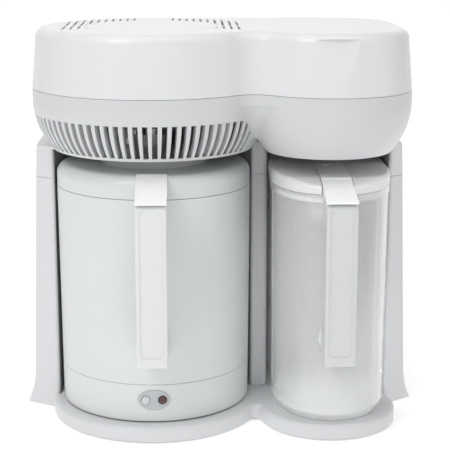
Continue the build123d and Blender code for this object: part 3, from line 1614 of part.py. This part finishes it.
def make_carafe_lid():
    under = carafe_lid_plug_z - beyond
    body = upright(carafe_plan(-carafe_collar, 0), carafe_lid_z, carafe_lid_top_z)
    body -= lid_slope_cut()
    across = [e for e in body.edges() if abs(e.center().Y - strip_bend_y) < 0.01]
    body = fillet(across, carafe_lid_bend_r)
    body = fillet(lid_rim(body), carafe_lid_edge_r)
    plug = carafe_wall + part_gap
    body += upright(carafe_plan(plug, 0), carafe_lid_plug_z, carafe_lid_z)
    roof = carafe_lid_top_z - carafe_lid_skin
    body -= upright(carafe_plan(plug + carafe_lid_plug_wall, 0), under, roof - 4)
    body += ring(nozzle_x, nozzle_y, carafe_lid_plug_z, roof, cup_r, inlet_hole_r)
    body -= strip_form(seat_gap, strip_line)
    body -= post(nozzle_x, nozzle_y, under, carafe_lid_top_z + 5, inlet_hole_r)
    half = pour_slot_width / 2
    slot_front = carafe_rear_y - carafe_wall - 6
    return body - block(carafe_x - half, carafe_x + half, slot_front, carafe_rear_y + 5, under, carafe_lid_z)


def make_carafe_lid_tab():
    return strip_form(0, 0) - post(nozzle_x, nozzle_y, carafe_lid_plug_z, carafe_lid_top_z + 5, inlet_hole_r)


def make_filter_cup():
    top = carafe_lid_plug_z
    floor = cup_low_z + cup_wall
    inner = cup_r - cup_wall
    body = turned_points(nozzle_x, nozzle_y, [
        (0, cup_low_z), (cup_r - cup_taper, cup_low_z), (cup_r - cup_taper / 2, top - 8), (cup_r, top - 6),
        (cup_r, top), (inner, top), (inner, top - 8), (inner - cup_taper, floor), (0, floor),
    ])
    for i in range(cup_hole_count):
        x, y = polar(nozzle_x, nozzle_y, cup_r / 2, 360 / cup_hole_count * i)
        body -= post(x, y, cup_low_z - beyond, floor + beyond, cup_hole_r)
    return body


def make_charcoal_filter():
    low = cup_low_z + cup_wall
    r = cup_r - cup_wall - cup_taper - 0.4
    return post(nozzle_x, nozzle_y, low, low + filter_height, r)


def make_filter_cap():
    low = cup_low_z + cup_wall + filter_height
    body = post(nozzle_x, nozzle_y, low, low + cap_thickness, cup_r - cup_wall - 1.8)
    for i in range(cap_hole_count):
        x, y = polar(nozzle_x, nozzle_y, cup_r / 2 + 1, 360 / cap_hole_count * i)
        body -= post(x, y, low - beyond, low + cap_thickness + beyond, cap_hole_r)
    return body


def save(name, shape):
    """Writes one piece, or one group of like pieces, under its name."""
    solids = shape if isinstance(shape, list) else [shape]
    solids = [s for item in solids for s in item.solids()]
    whole = solids[0] if len(solids) == 1 else Compound(children=solids)
    whole.label = name
    export_step(whole, os.path.join("parts", name + ".step"))


def build():
    os.makedirs("parts", exist_ok=True)
    coil, tail = make_condenser_coil()
    pieces = {
        "base_plate": make_base_plate(),
        "bottom_plate": make_bottom_plate(),
        "rubber_feet": make_rubber_feet(),
        "base_screws": make_base_screws(),
        "stand_tower": make_stand_tower(),
        "tower_shoulder": make_tower_shoulder(),
        "back_cover": make_back_cover(),
        "cover_screws": make_cover_screws(),
        "power_inlet": make_power_inlet(),
        "inlet_pins": make_inlet_pins(),
        "dock_socket": make_dock_socket(),
        "dock_contacts": make_dock_contacts(),
        "inlet_lead": make_inlet_lead(),
        "fan_lead": make_fan_lead(),
        "lower_housing": make_lower_housing(),
        "upper_cover": make_upper_cover(),
        "head_screws": make_head_screws(),
        "bracket_screws": make_bracket_screws(),
        "steam_bellows": make_steam_bellows(),
        "steam_inlet": make_steam_inlet(),
        "condenser_coil": coil,
        "condenser_fins": make_condenser_fins(),
        "distillate_tube": make_distillate_tube(tail),
        "drip_nozzle": make_drip_nozzle(),
        "fan_bracket": make_fan_bracket(),
        "fan_motor": make_fan_motor(),
        "fan_shaft": make_fan_shaft(),
        "fan_impeller": make_fan_impeller(),
        "boiler_jacket": make_boiler_jacket(),
        "boiler_vessel": make_boiler_vessel(),
        "boiler_base_band": make_boiler_base_band(),
        "boiler_bottom_cover": make_boiler_bottom_cover(),
        "bottom_cover_screws": make_bottom_cover_screws(),
        "glide_pads": make_glide_pads(),
        "heating_element": make_heating_element(),
        "thermostat": make_thermostat(),
        "thermal_fuse": make_thermal_fuse(),
        "boiler_leads": make_boiler_leads(),
        "boiler_handle": make_boiler_handle(),
        "boiler_handle_screws": make_boiler_handle_screws(),
        "control_plate": make_control_plate(),
        "indicator_lamp": make_indicator_lamp(),
        "start_switch": make_start_switch(),
        "boiler_connector": make_boiler_connector(),
        "connector_pins": make_connector_pins(),
        "start_button": make_start_button(),
        "button_spring": make_button_spring(),
        "boiler_lid": make_boiler_lid(),
        "lid_liner": make_lid_liner(),
        "lid_gasket": make_lid_gasket(),
        "lid_tab": make_lid_tab(),
        "steam_outlet": make_steam_outlet(),
        "carafe_body": make_carafe_body(),
        "carafe_handle": make_carafe_handle(),
        "carafe_boss": make_carafe_boss(),
        "carafe_lid": make_carafe_lid(),
        "carafe_lid_tab": make_carafe_lid_tab(),
        "filter_cup": make_filter_cup(),
        "filter_cap": make_filter_cap(),
        "charcoal_filter": make_charcoal_filter(),
    }
    for name, shape in pieces.items():
        save(name, shape)


build()
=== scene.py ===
"""Looks of the countertop water distiller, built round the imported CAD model.

Metres, in the row's frame: X to the right, Y away from the user, Z up.
"""

import json
import math

import bmesh
import bpy
import numpy as np
from mathutils import Euler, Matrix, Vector


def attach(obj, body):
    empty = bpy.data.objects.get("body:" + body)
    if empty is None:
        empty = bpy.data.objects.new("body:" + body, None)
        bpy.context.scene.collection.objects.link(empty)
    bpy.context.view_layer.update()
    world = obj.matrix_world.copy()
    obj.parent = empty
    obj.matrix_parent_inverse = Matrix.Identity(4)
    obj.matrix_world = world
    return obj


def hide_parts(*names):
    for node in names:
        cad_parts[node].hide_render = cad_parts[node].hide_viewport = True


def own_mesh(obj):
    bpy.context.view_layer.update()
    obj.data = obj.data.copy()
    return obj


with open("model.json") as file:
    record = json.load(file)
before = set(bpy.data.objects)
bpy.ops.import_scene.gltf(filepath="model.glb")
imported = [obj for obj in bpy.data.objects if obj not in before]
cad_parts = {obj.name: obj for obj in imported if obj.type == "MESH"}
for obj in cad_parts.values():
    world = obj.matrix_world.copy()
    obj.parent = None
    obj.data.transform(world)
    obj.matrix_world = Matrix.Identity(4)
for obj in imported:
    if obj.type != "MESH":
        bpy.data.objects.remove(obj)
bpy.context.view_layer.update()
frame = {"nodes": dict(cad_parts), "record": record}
nodes = frame["nodes"]
slot_of = {part["node"]: part["material_slot"] for part in frame["record"]["subparts"]}


# Sizes of the wound and folded pieces

boiler_at = (-0.0655, 0.0120)
bellows_radius, bellows_wall, bellows_fold = 0.0500, 0.0030, 0.0020
bellows_low_z, bellows_high_z = 0.2624, 0.2700
coil_start = (boiler_at[0] - 0.0125, boiler_at[1] + 0.012, 0.2885)
coil_tube_r, coil_bend_r, coil_riser, coil_tail = 0.004, 0.014, 0.0005, 0.030
coil_first_r, coil_growth, coil_quarters = 0.018, 0.003, 24
spring_at = (boiler_at[0] - 0.008, -0.0657, 0.0392)
spring_turns, spring_mean_r, spring_length, spring_wire_r = 5, 0.0029, 0.01113, 0.0003


# Finish of the moulded plastics: noise in features for each metre, depths in metres

drift_scale, gloss_scale, skin_scale = 9.0, 900.0, 1400.0
skin_depth = 0.00005
# How much lighter the edges of moulded plastics are screened: rubbed wear, and a painted highlight on the
# edges.
edge_wear_and_highlight = 0.12
glow_depth = 0.003
plastic_ior = 1.5


# Materials

def new_material(name):
    """An empty material with its Principled shader."""
    material = bpy.data.materials.new(name)
    material.use_nodes = True
    return material, material.node_tree, material.node_tree.nodes["Principled BSDF"]


def add_node(tree, kind, **values):
    """A node: names with a capital are its input sockets, the others its properties."""
    node = tree.nodes.new(kind)
    for key, value in values.items():
        if key[0].isupper():
            node.inputs[key.replace("_", " ")].default_value = value
        else:
            setattr(node, key, value)
    return node


def link(tree, source, target):
    tree.links.new(source, target)


def place(tree, stretch=(1.0, 1.0, 1.0)):
    """Object coordinates, stretched along an axis where a finish has a direction."""
    coords = add_node(tree, "ShaderNodeTexCoord")
    mapping = add_node(tree, "ShaderNodeMapping")
    mapping.inputs["Scale"].default_value = stretch
    link(tree, coords.outputs["Object"], mapping.inputs["Vector"])
    return mapping.outputs["Vector"]


def noise(tree, at, scale, detail=3.0):
    """A noise value with features about 1 / scale metres apart."""
    node = add_node(tree, "ShaderNodeTexNoise", Scale=scale, Detail=detail, Roughness=0.55)
    link(tree, at, node.inputs["Vector"])
    return node.outputs["Fac"]


def spread(tree, value, low, high):
    """Maps a noise value, which stays near one half, to a range with soft ends."""
    node = add_node(tree, "ShaderNodeMapRange", interpolation_type="SMOOTHSTEP")
    node.inputs["From Min"].default_value = 0.15
    node.inputs["From Max"].default_value = 0.85
    node.inputs["To Min"].default_value = low
    node.inputs["To Max"].default_value = high
    link(tree, value, node.inputs["Value"])
    return node.outputs["Result"]


def tint(tree, value, colour, amount):
    """A colour that wanders a little to both sides of one colour."""
    mix = add_node(tree, "ShaderNodeMix", data_type="RGBA")
    dark = [c * (1 - amount) for c in colour]
    light = [min(1.0, c * (1 + amount)) for c in colour]
    mix.inputs["A"].default_value = (*dark, 1.0)
    mix.inputs["B"].default_value = (*light, 1.0)
    link(tree, value, mix.inputs["Factor"])
    return mix.outputs["Result"]


def bump(tree, value, shader, strength, height, normal=None):
    """Fine relief from a noise value, height in metres, on a surface's own or a given normal."""
    node = add_node(tree, "ShaderNodeBump", Strength=strength, Distance=height)
    link(tree, value, node.inputs["Height"])
    if normal:
        link(tree, normal, node.inputs["Normal"])
    link(tree, node.outputs["Normal"], shader.inputs["Normal"])


def soft_edges(tree, radius):
    """The small radii that a mould leaves: a rounded normal, and how near an edge is, from 0 to 1."""
    rounded = add_node(tree, "ShaderNodeBevel", samples=5, Radius=radius)
    flat = add_node(tree, "ShaderNodeNewGeometry")
    agree = add_node(tree, "ShaderNodeVectorMath", operation="DOT_PRODUCT")
    link(tree, rounded.outputs["Normal"], agree.inputs[0])
    link(tree, flat.outputs["Normal"], agree.inputs[1])
    near = add_node(tree, "ShaderNodeMapRange")
    near.inputs["From Min"].default_value = 1.0
    near.inputs["From Max"].default_value = 0.75
    link(tree, agree.outputs["Value"], near.inputs["Value"])
    return rounded.outputs["Normal"], near.outputs["Result"]


def wear_and_highlight_edges(tree, colour, near, amount):
    """A colour that is lighter along edges: rubbed wear, and a painted highlight where rounded edges catch
    the light.
    """
    mix = add_node(tree, "ShaderNodeMix", data_type="RGBA", blend_type="SCREEN")
    mix.inputs["B"].default_value = (amount, amount, amount, 1.0)
    link(tree, colour, mix.inputs["A"])
    link(tree, near, mix.inputs["Factor"])
    return mix.outputs["Result"]


def plastic_patterns(tree):
    """The patterns in every moulded plastic: slow tone drift, a fine uneven gloss and a fine skin."""
    at = place(tree)
    return [noise(tree, at, scale, 2.0) for scale in (drift_scale, gloss_scale, skin_scale)]


def moulded_plastic(
    name, colour, gloss=0.32, relief=0.05, sheen_spread=0.025, cloud=0.006, edge=0.0008, glow=0.0
):
    """Injection-moulded plastic: slow tone drift, a fine uneven gloss and skin, and soft edges painted
    lighter, for rubbed wear and as a painted highlight.

    Glow is the share of light that spreads inside it, which makes thin ribs and slots lighter.
    """
    material, tree, shader = new_material(name)
    drift, uneven, skin = plastic_patterns(tree)
    normal, near = soft_edges(tree, edge)
    plain = tint(tree, drift, colour, cloud)
    # Edges painted lighter: rubbed wear, and a painted highlight where the rounded edges catch the light.
    link(tree, wear_and_highlight_edges(tree, plain, near, edge_wear_and_highlight), shader.inputs["Base Color"])
    roughness = spread(tree, uneven, gloss - sheen_spread, gloss + sheen_spread)
    link(tree, roughness, shader.inputs["Roughness"])
    bump(tree, skin, shader, relief, skin_depth, normal)
    shader.inputs["IOR"].default_value = plastic_ior
    shader.inputs["Subsurface Weight"].default_value = glow
    shader.inputs["Subsurface Radius"].default_value = (1.0, 1.0, 1.0)
    shader.inputs["Subsurface Scale"].default_value = glow_depth
    return material


def polished_plastic(name, colour):
    """Smoother moulded plastic, for the parts that a hand holds or presses."""
    material, tree, shader = new_material(name)
    drift, uneven, skin = plastic_patterns(tree)
    link(tree, tint(tree, drift, colour, 0.006), shader.inputs["Base Color"])
    link(tree, spread(tree, uneven, 0.26, 0.31), shader.inputs["Roughness"])
    bump(tree, skin, shader, 0.05, skin_depth)
    shader.inputs["IOR"].default_value = plastic_ior
    return material


def clear_plastic(name):
    """Clear moulded plastic with the faintest ripple and rubbed patches, which lets the lamps through."""
    material, tree, shader = new_material(name)
    at = place(tree)
    ripple = noise(tree, at, 22.0, 1.0)
    rubbed = noise(tree, at, 130.0, 3.0)
    link(tree, tint(tree, rubbed, (0.985, 0.992, 0.990), 0.006), shader.inputs["Base Color"])
    link(tree, spread(tree, rubbed, 0.02, 0.06), shader.inputs["Roughness"])
    bump(tree, ripple, shader, 0.10, 0.002)
    shader.inputs["Transmission Weight"].default_value = 0.72
    shader.inputs["IOR"].default_value = 1.45
    rays = add_node(tree, "ShaderNodeLightPath")
    open_air = add_node(tree, "ShaderNodeBsdfTransparent")
    open_air.inputs["Color"].default_value = (0.95, 0.96, 0.96, 1.0)
    either = add_node(tree, "ShaderNodeMixShader")
    link(tree, rays.outputs["Is Shadow Ray"], either.inputs["Fac"])
    link(tree, shader.outputs["BSDF"], either.inputs[1])
    link(tree, open_air.outputs["BSDF"], either.inputs[2])
    link(tree, either.outputs["Shader"], tree.nodes["Material Output"].inputs["Surface"])
    return material


def brushed_metal(name, colour, roughness=0.28, stretch=(1.0, 1.0, 14.0)):
    """Metal with fine lines across its length."""
    material, tree, shader = new_material(name)
    at = place(tree, stretch)
    lines = noise(tree, at, 420.0, 3.0)
    link(tree, tint(tree, lines, colour, 0.08), shader.inputs["Base Color"])
    link(tree, spread(tree, lines, roughness - 0.08, roughness + 0.1), shader.inputs["Roughness"])
    bump(tree, lines, shader, 0.12, 0.0003)
    shader.inputs["Metallic"].default_value = 1.0
    return material


def soft_rubber(name, colour):
    """Matt rubber with a dusty bloom."""
    material, tree, shader = new_material(name)
    at = place(tree)
    bloom = noise(tree, at, 120.0, 4.0)
    link(tree, tint(tree, bloom, colour, 0.12), shader.inputs["Base Color"])
    link(tree, spread(tree, bloom, 0.55, 0.75), shader.inputs["Roughness"])
    bump(tree, bloom, shader, 0.2, 0.0003)
    return material


def charcoal_pad(name):
    """Pressed charcoal granules."""
    material, tree, shader = new_material(name)
    cells = add_node(tree, "ShaderNodeTexVoronoi", Scale=520.0)
    link(tree, place(tree), cells.inputs["Vector"])
    granules = tint(tree, cells.outputs["Distance"], (0.05, 0.05, 0.05), 0.5)
    link(tree, granules, shader.inputs["Base Color"])
    bump(tree, cells.outputs["Distance"], shader, 0.6, 0.0008)
    shader.inputs["Roughness"].default_value = 0.8
    return material


def lamp_lens(name):
    """Dark red clear lens over an unlit lamp, with moulded facets inside."""
    material, tree, shader = new_material(name)
    cells = add_node(tree, "ShaderNodeTexVoronoi", Scale=900.0)
    link(tree, place(tree), cells.inputs["Vector"])
    facets = tint(tree, cells.outputs["Distance"], (0.065, 0.010, 0.013), 0.3)
    link(tree, facets, shader.inputs["Base Color"])
    bump(tree, cells.outputs["Distance"], shader, 0.3, 0.0003)
    shader.inputs["Roughness"].default_value = 0.15
    shader.inputs["Coat Weight"].default_value = 0.6
    return material


materials = {
    "cover_plastic": moulded_plastic("cover_plastic", (0.745, 0.755, 0.770), 0.30, glow=0.3),
    "bowl_plastic": moulded_plastic("bowl_plastic", (0.640, 0.652, 0.664), 0.34, glow=0.3),
    "stand_plastic": moulded_plastic("stand_plastic", (0.690, 0.698, 0.716), 0.36),
    "boiler_plastic": moulded_plastic("boiler_plastic", (0.700, 0.729, 0.716), 0.34),
    "handle_plastic": polished_plastic("handle_plastic", (0.735, 0.745, 0.755)),
    "carafe_lid_plastic": moulded_plastic("carafe_lid_plastic", (0.790, 0.800, 0.808), 0.32),
    "plate_plastic": moulded_plastic("plate_plastic", (0.500, 0.515, 0.540), 0.34),
    "inner_plastic": moulded_plastic("inner_plastic", (0.42, 0.42, 0.43), 0.5),
    "black_plastic": moulded_plastic("black_plastic", (0.022, 0.022, 0.024), 0.42, 0.1),
    "filter_plastic": moulded_plastic("filter_plastic", (0.80, 0.775, 0.71), 0.45),
    "clear_plastic": clear_plastic("clear_plastic"),
    "lamp_lens": lamp_lens("lamp_lens"),
    "steel": brushed_metal("steel", (0.56, 0.56, 0.55)),
    "screw_steel": brushed_metal("screw_steel", (0.50, 0.50, 0.52), 0.34, (1.0, 1.0, 1.0)),
    "fin_aluminium": brushed_metal("fin_aluminium", (0.72, 0.73, 0.74), 0.36),
    "brass": brushed_metal("brass", (0.72, 0.52, 0.22), 0.26, (1.0, 10.0, 1.0)),
    "motor_metal": moulded_plastic("motor_metal", (0.045, 0.045, 0.05), 0.38, 0.15),
    "soft_rubber": soft_rubber("soft_rubber", (0.30, 0.30, 0.295)),
    "black_rubber": soft_rubber("black_rubber", (0.02, 0.02, 0.02)),
    "charcoal": charcoal_pad("charcoal"),
    # The lid tabs use a much lighter copy of the handles' plastic: painted light for the strong light on
    # their sloped tops, not a colour of their own.
    "tab_plastic_painted_light": polished_plastic("tab_plastic_painted_light", (0.950, 0.958, 0.965)),
    "carafe_handle_plastic": polished_plastic("carafe_handle_plastic", (0.650, 0.665, 0.665)),
    "button_plastic": polished_plastic("button_plastic", (0.620, 0.645, 0.635)),
}
# The tabs' lighter copy paints the light that falls on their sloped tops.
own_finish = {
    "lid_tab": "tab_plastic_painted_light",
    "carafe_lid_tab": "tab_plastic_painted_light",
    "carafe_handle": "carafe_handle_plastic",
    "start_button": "button_plastic",
}

for node, part in nodes.items():
    part.data.materials.clear()
    part.data.materials.append(materials[own_finish.get(node, slot_of[node])])


# Pieces that are wound or folded

def grid_faces(rows, columns, rows_join):
    """Quads of a grid of points whose columns join up, and whose rows do if asked."""
    last = rows if rows_join else rows - 1
    row, column = np.meshgrid(np.arange(last), np.arange(columns), indexing="ij")
    next_row = (row + 1) % rows
    next_column = (column + 1) % columns
    corners = [(row, column), (next_row, column), (next_row, next_column), (row, next_column)]
    return np.stack([r * columns + c for r, c in corners], axis=-1).reshape(-1, 4)


def signed_volume(points, faces):
    """Sum of the volumes of the wedges between the origin and each quad: below zero if turned inside out."""
    a, b, c, d = (points[faces[:, k]] for k in range(4))
    return np.einsum("ij,ij->", a, np.cross(b, c) + np.cross(c, d)) / 6.0


def add_piece(name, points, rows_join, node, body):
    """A smooth closed piece from a grid of points in metres, in the place of a CAD node."""
    rows, columns, _ = points.shape
    faces = grid_faces(rows, columns, rows_join)
    points = points.reshape(-1, 3)
    if signed_volume(points, faces) < 0:
        faces = faces[:, ::-1]
    mesh = bpy.data.meshes.new(name)
    mesh.from_pydata(points.tolist(), [], faces.tolist())
    work = bmesh.new()
    work.from_mesh(mesh)
    bmesh.ops.remove_doubles(work, verts=work.verts, dist=1e-7)
    work.to_mesh(mesh)
    work.free()
    mesh.polygons.foreach_set("use_smooth", np.ones(len(mesh.polygons), dtype=bool))
    mesh.materials.append(materials[slot_of[node]])
    piece = bpy.data.objects.new(name, mesh)
    bpy.context.collection.objects.link(piece)
    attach(piece, body)
    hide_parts(node)
    return piece


def tube(line, side, radius, around=16):
    """Points of a round tube: p + radius (cos a side + sin a (tangent x side)), closed at both ends."""
    tangent = np.gradient(line, axis=0)
    tangent /= np.linalg.norm(tangent, axis=1, keepdims=True)
    side = side - tangent * np.sum(side * tangent, axis=1, keepdims=True)
    side /= np.linalg.norm(side, axis=1, keepdims=True)
    up = np.cross(tangent, side)
    turn = np.linspace(0.0, 2 * math.pi, around, endpoint=False)[None, :, None]
    rings = line[:, None] + radius * (np.cos(turn) * side[:, None] + np.sin(turn) * up[:, None])
    first = np.broadcast_to(line[0], (1, around, 3))
    last = np.broadcast_to(line[-1], (1, around, 3))
    return np.concatenate([first, rings, last])


def steam_bellows():
    """Ring with three folds: r = outer - fold (1 - cos 6 pi t) / 2 up the outside, a wall less inside."""
    low, high = bellows_low_z, bellows_high_z
    t = np.linspace(0.0, 1.0, 37)
    fold = bellows_fold * (1 - np.cos(6 * math.pi * t)) / 2
    outer = bellows_radius - fold
    radius = np.concatenate([outer, (outer - bellows_wall)[::-1]])
    height = low + (high - low) * np.concatenate([t, t[::-1]])
    turn = np.linspace(0.0, 2 * math.pi, 144, endpoint=False)
    x = boiler_at[0] + radius[:, None] * np.cos(turn)
    y = boiler_at[1] + radius[:, None] * np.sin(turn)
    points = np.stack([x, y, np.broadcast_to(height[:, None], x.shape)], axis=-1)
    piece = add_piece("folded_steam_seal", points, True, "steam_bellows", "stand")
    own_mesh(piece)


def condenser_coil():
    """A riser, a quarter bend and a flat spiral of quarter turns, each larger by a quarter pitch.

    A quarter turn from p with heading h and inward side i is p + i r (1 - cos a) + h r sin a.
    """
    bend = coil_bend_r
    start = np.array(coil_start)
    low = np.linspace(0.0, coil_riser, 2, endpoint=False)
    riser = start + np.stack([0 * low, 0 * low, low], axis=-1)
    a = np.linspace(0.0, math.pi / 2, 10, endpoint=False)
    knee = start + np.stack([bend * (1 - np.cos(a)), 0 * a, coil_riser + bend * np.sin(a)], axis=-1)
    quarters = np.arange(coil_quarters)
    heading = -quarters * math.pi / 2
    ahead = np.stack([np.cos(heading), np.sin(heading), 0 * heading], axis=-1)
    inward = np.stack([np.sin(heading), -np.cos(heading), 0 * heading], axis=-1)
    radius = (coil_first_r + coil_growth * quarters)[:, None]
    first = start + np.array([bend, 0.0, bend + coil_riser])
    ends = first + np.cumsum((ahead + inward) * radius, axis=0)
    begins = np.concatenate([first[None], ends[:-1]])
    a = np.linspace(0.0, math.pi / 2, 12, endpoint=False)[None, :, None]
    spiral = begins[:, None] + (inward * radius)[:, None] * (1 - np.cos(a))
    spiral = spiral + (ahead * radius)[:, None] * np.sin(a)
    tail = ends[-1] + np.linspace(0.0, coil_tail, 4)[:, None] * np.array([1.0, 0.0, 0.0])
    line = np.concatenate([riser, knee, spiral.reshape(-1, 3), tail])
    tangent = np.gradient(line, axis=0)
    side = np.cross((0.0, 0.0, 1.0), tangent)
    side[: len(riser) + len(knee)] = (0.0, 1.0, 0.0)
    add_piece("wound_condenser_tube", tube(line, side, coil_tube_r), False, "condenser_coil", "stand")


def button_spring():
    """Helix round the button's stem: (x + r cos a, y + pitch a / 2 pi, z + r sin a)."""
    a = np.linspace(0.0, 2 * math.pi * spring_turns, 24 * spring_turns + 1)
    x, back, z = spring_at
    along = back - spring_length * a / a[-1]
    line = np.stack([x + spring_mean_r * np.cos(a), along, z + spring_mean_r * np.sin(a)], axis=-1)
    side = np.stack([np.cos(a), 0 * a, np.sin(a)], axis=-1)
    wire = tube(line, side, spring_wire_r, 10)
    piece = add_piece("wound_button_spring", wire, False, "button_spring", "button")
    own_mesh(piece)


steam_bellows()
condenser_coil()
button_spring()


# Floor, light and camera

def floor_sheet():
    """A pale floor that curves up into a backdrop: a line carried across, far behind the stand."""
    x = np.linspace(-4.0, 4.0, 2)
    turn = np.linspace(0.0, math.pi / 2, 24)
    y = np.concatenate([[-4.0], 3.0 + 1.2 * np.sin(turn), [4.2]])
    z = np.concatenate([[0.0], 1.2 * (1 - np.cos(turn)), [5.0]])
    across, along = np.meshgrid(x, np.arange(len(y)), indexing="ij")
    points = np.stack([across, y[along], z[along]], axis=-1).reshape(-1, 3)
    rows = np.arange(len(y) - 1)
    faces = np.stack([rows, rows + len(y), rows + len(y) + 1, rows + 1], axis=-1)
    mesh = bpy.data.meshes.new("floor")
    mesh.from_pydata(points.tolist(), [], faces.tolist())
    mesh.polygons.foreach_set("use_smooth", np.ones(len(mesh.polygons), dtype=bool))
    floor = bpy.data.objects.new("floor", mesh)
    bpy.context.collection.objects.link(floor)
    material, tree, shader = new_material("floor")
    patches = noise(tree, place(tree), 3.0, 2.0)
    link(tree, tint(tree, patches, (0.93, 0.93, 0.93), 0.004), shader.inputs["Base Color"])
    shader.inputs["Roughness"].default_value = 0.7
    shader.inputs["Emission Color"].default_value = (1.0, 1.0, 1.0, 1.0)
    shader.inputs["Emission Strength"].default_value = 0.34
    mesh.materials.append(material)


def soft_light(name, at, size, power, aim=(0.0, 0.0, 0.2)):
    """A large square lamp that faces the distiller."""
    lamp = bpy.data.lights.new(name, "AREA")
    lamp.size = size
    lamp.energy = power
    holder = bpy.data.objects.new(name, lamp)
    holder.location = at
    holder.rotation_euler = (Vector(aim) - Vector(at)).to_track_quat("-Z", "Y").to_euler()
    bpy.context.collection.objects.link(holder)


def studio():
    """White surroundings and soft lamps: most light from above, the rest from the front and the sides."""
    world = bpy.data.worlds.new("studio")
    world.use_nodes = True
    world.node_tree.nodes["Background"].inputs["Color"].default_value = (1.0, 1.0, 1.0, 1.0)
    world.node_tree.nodes["Background"].inputs["Strength"].default_value = 0.28
    bpy.context.scene.world = world
    soft_light("lamp_above", (-0.3, -0.3, 2.2), 2.0, 18.0)
    soft_light("lamp_above_right", (0.9, -0.6, 2.0), 1.2, 5.0)
    soft_light("lamp_key", (-0.9, -1.2, 1.5), 0.5, 9.5)
    soft_light("lamp_front", (0.2, -2.2, 0.6), 1.4, 3.0)
    soft_light("lamp_front_left", (-1.4, -1.6, 1.0), 0.8, 2.9)
    soft_light("lamp_right", (1.8, -0.5, 0.8), 1.2, 3.6)
    soft_light("lamp_backdrop", (0.0, 2.4, 2.2), 1.5, 14.0, aim=(0.0, 3.8, 0.2))


def photo_camera():
    """The photograph's viewpoint: solved from its ellipses and from where both handles stand."""
    lens = bpy.data.cameras.new("camera")
    lens.lens = 108.07
    lens.sensor_width = 36.0
    lens.clip_end = 50.0
    camera = bpy.data.objects.new("camera", lens)
    camera.location = (-0.0346, -1.3005, 0.4891)
    camera.rotation_euler = Euler((math.radians(77.1), 0.0, math.radians(-1.72)))
    bpy.context.collection.objects.link(camera)
    bpy.context.scene.camera = camera


floor_sheet()
studio()
photo_camera()
bpy.context.scene.view_settings.view_transform = "Standard"
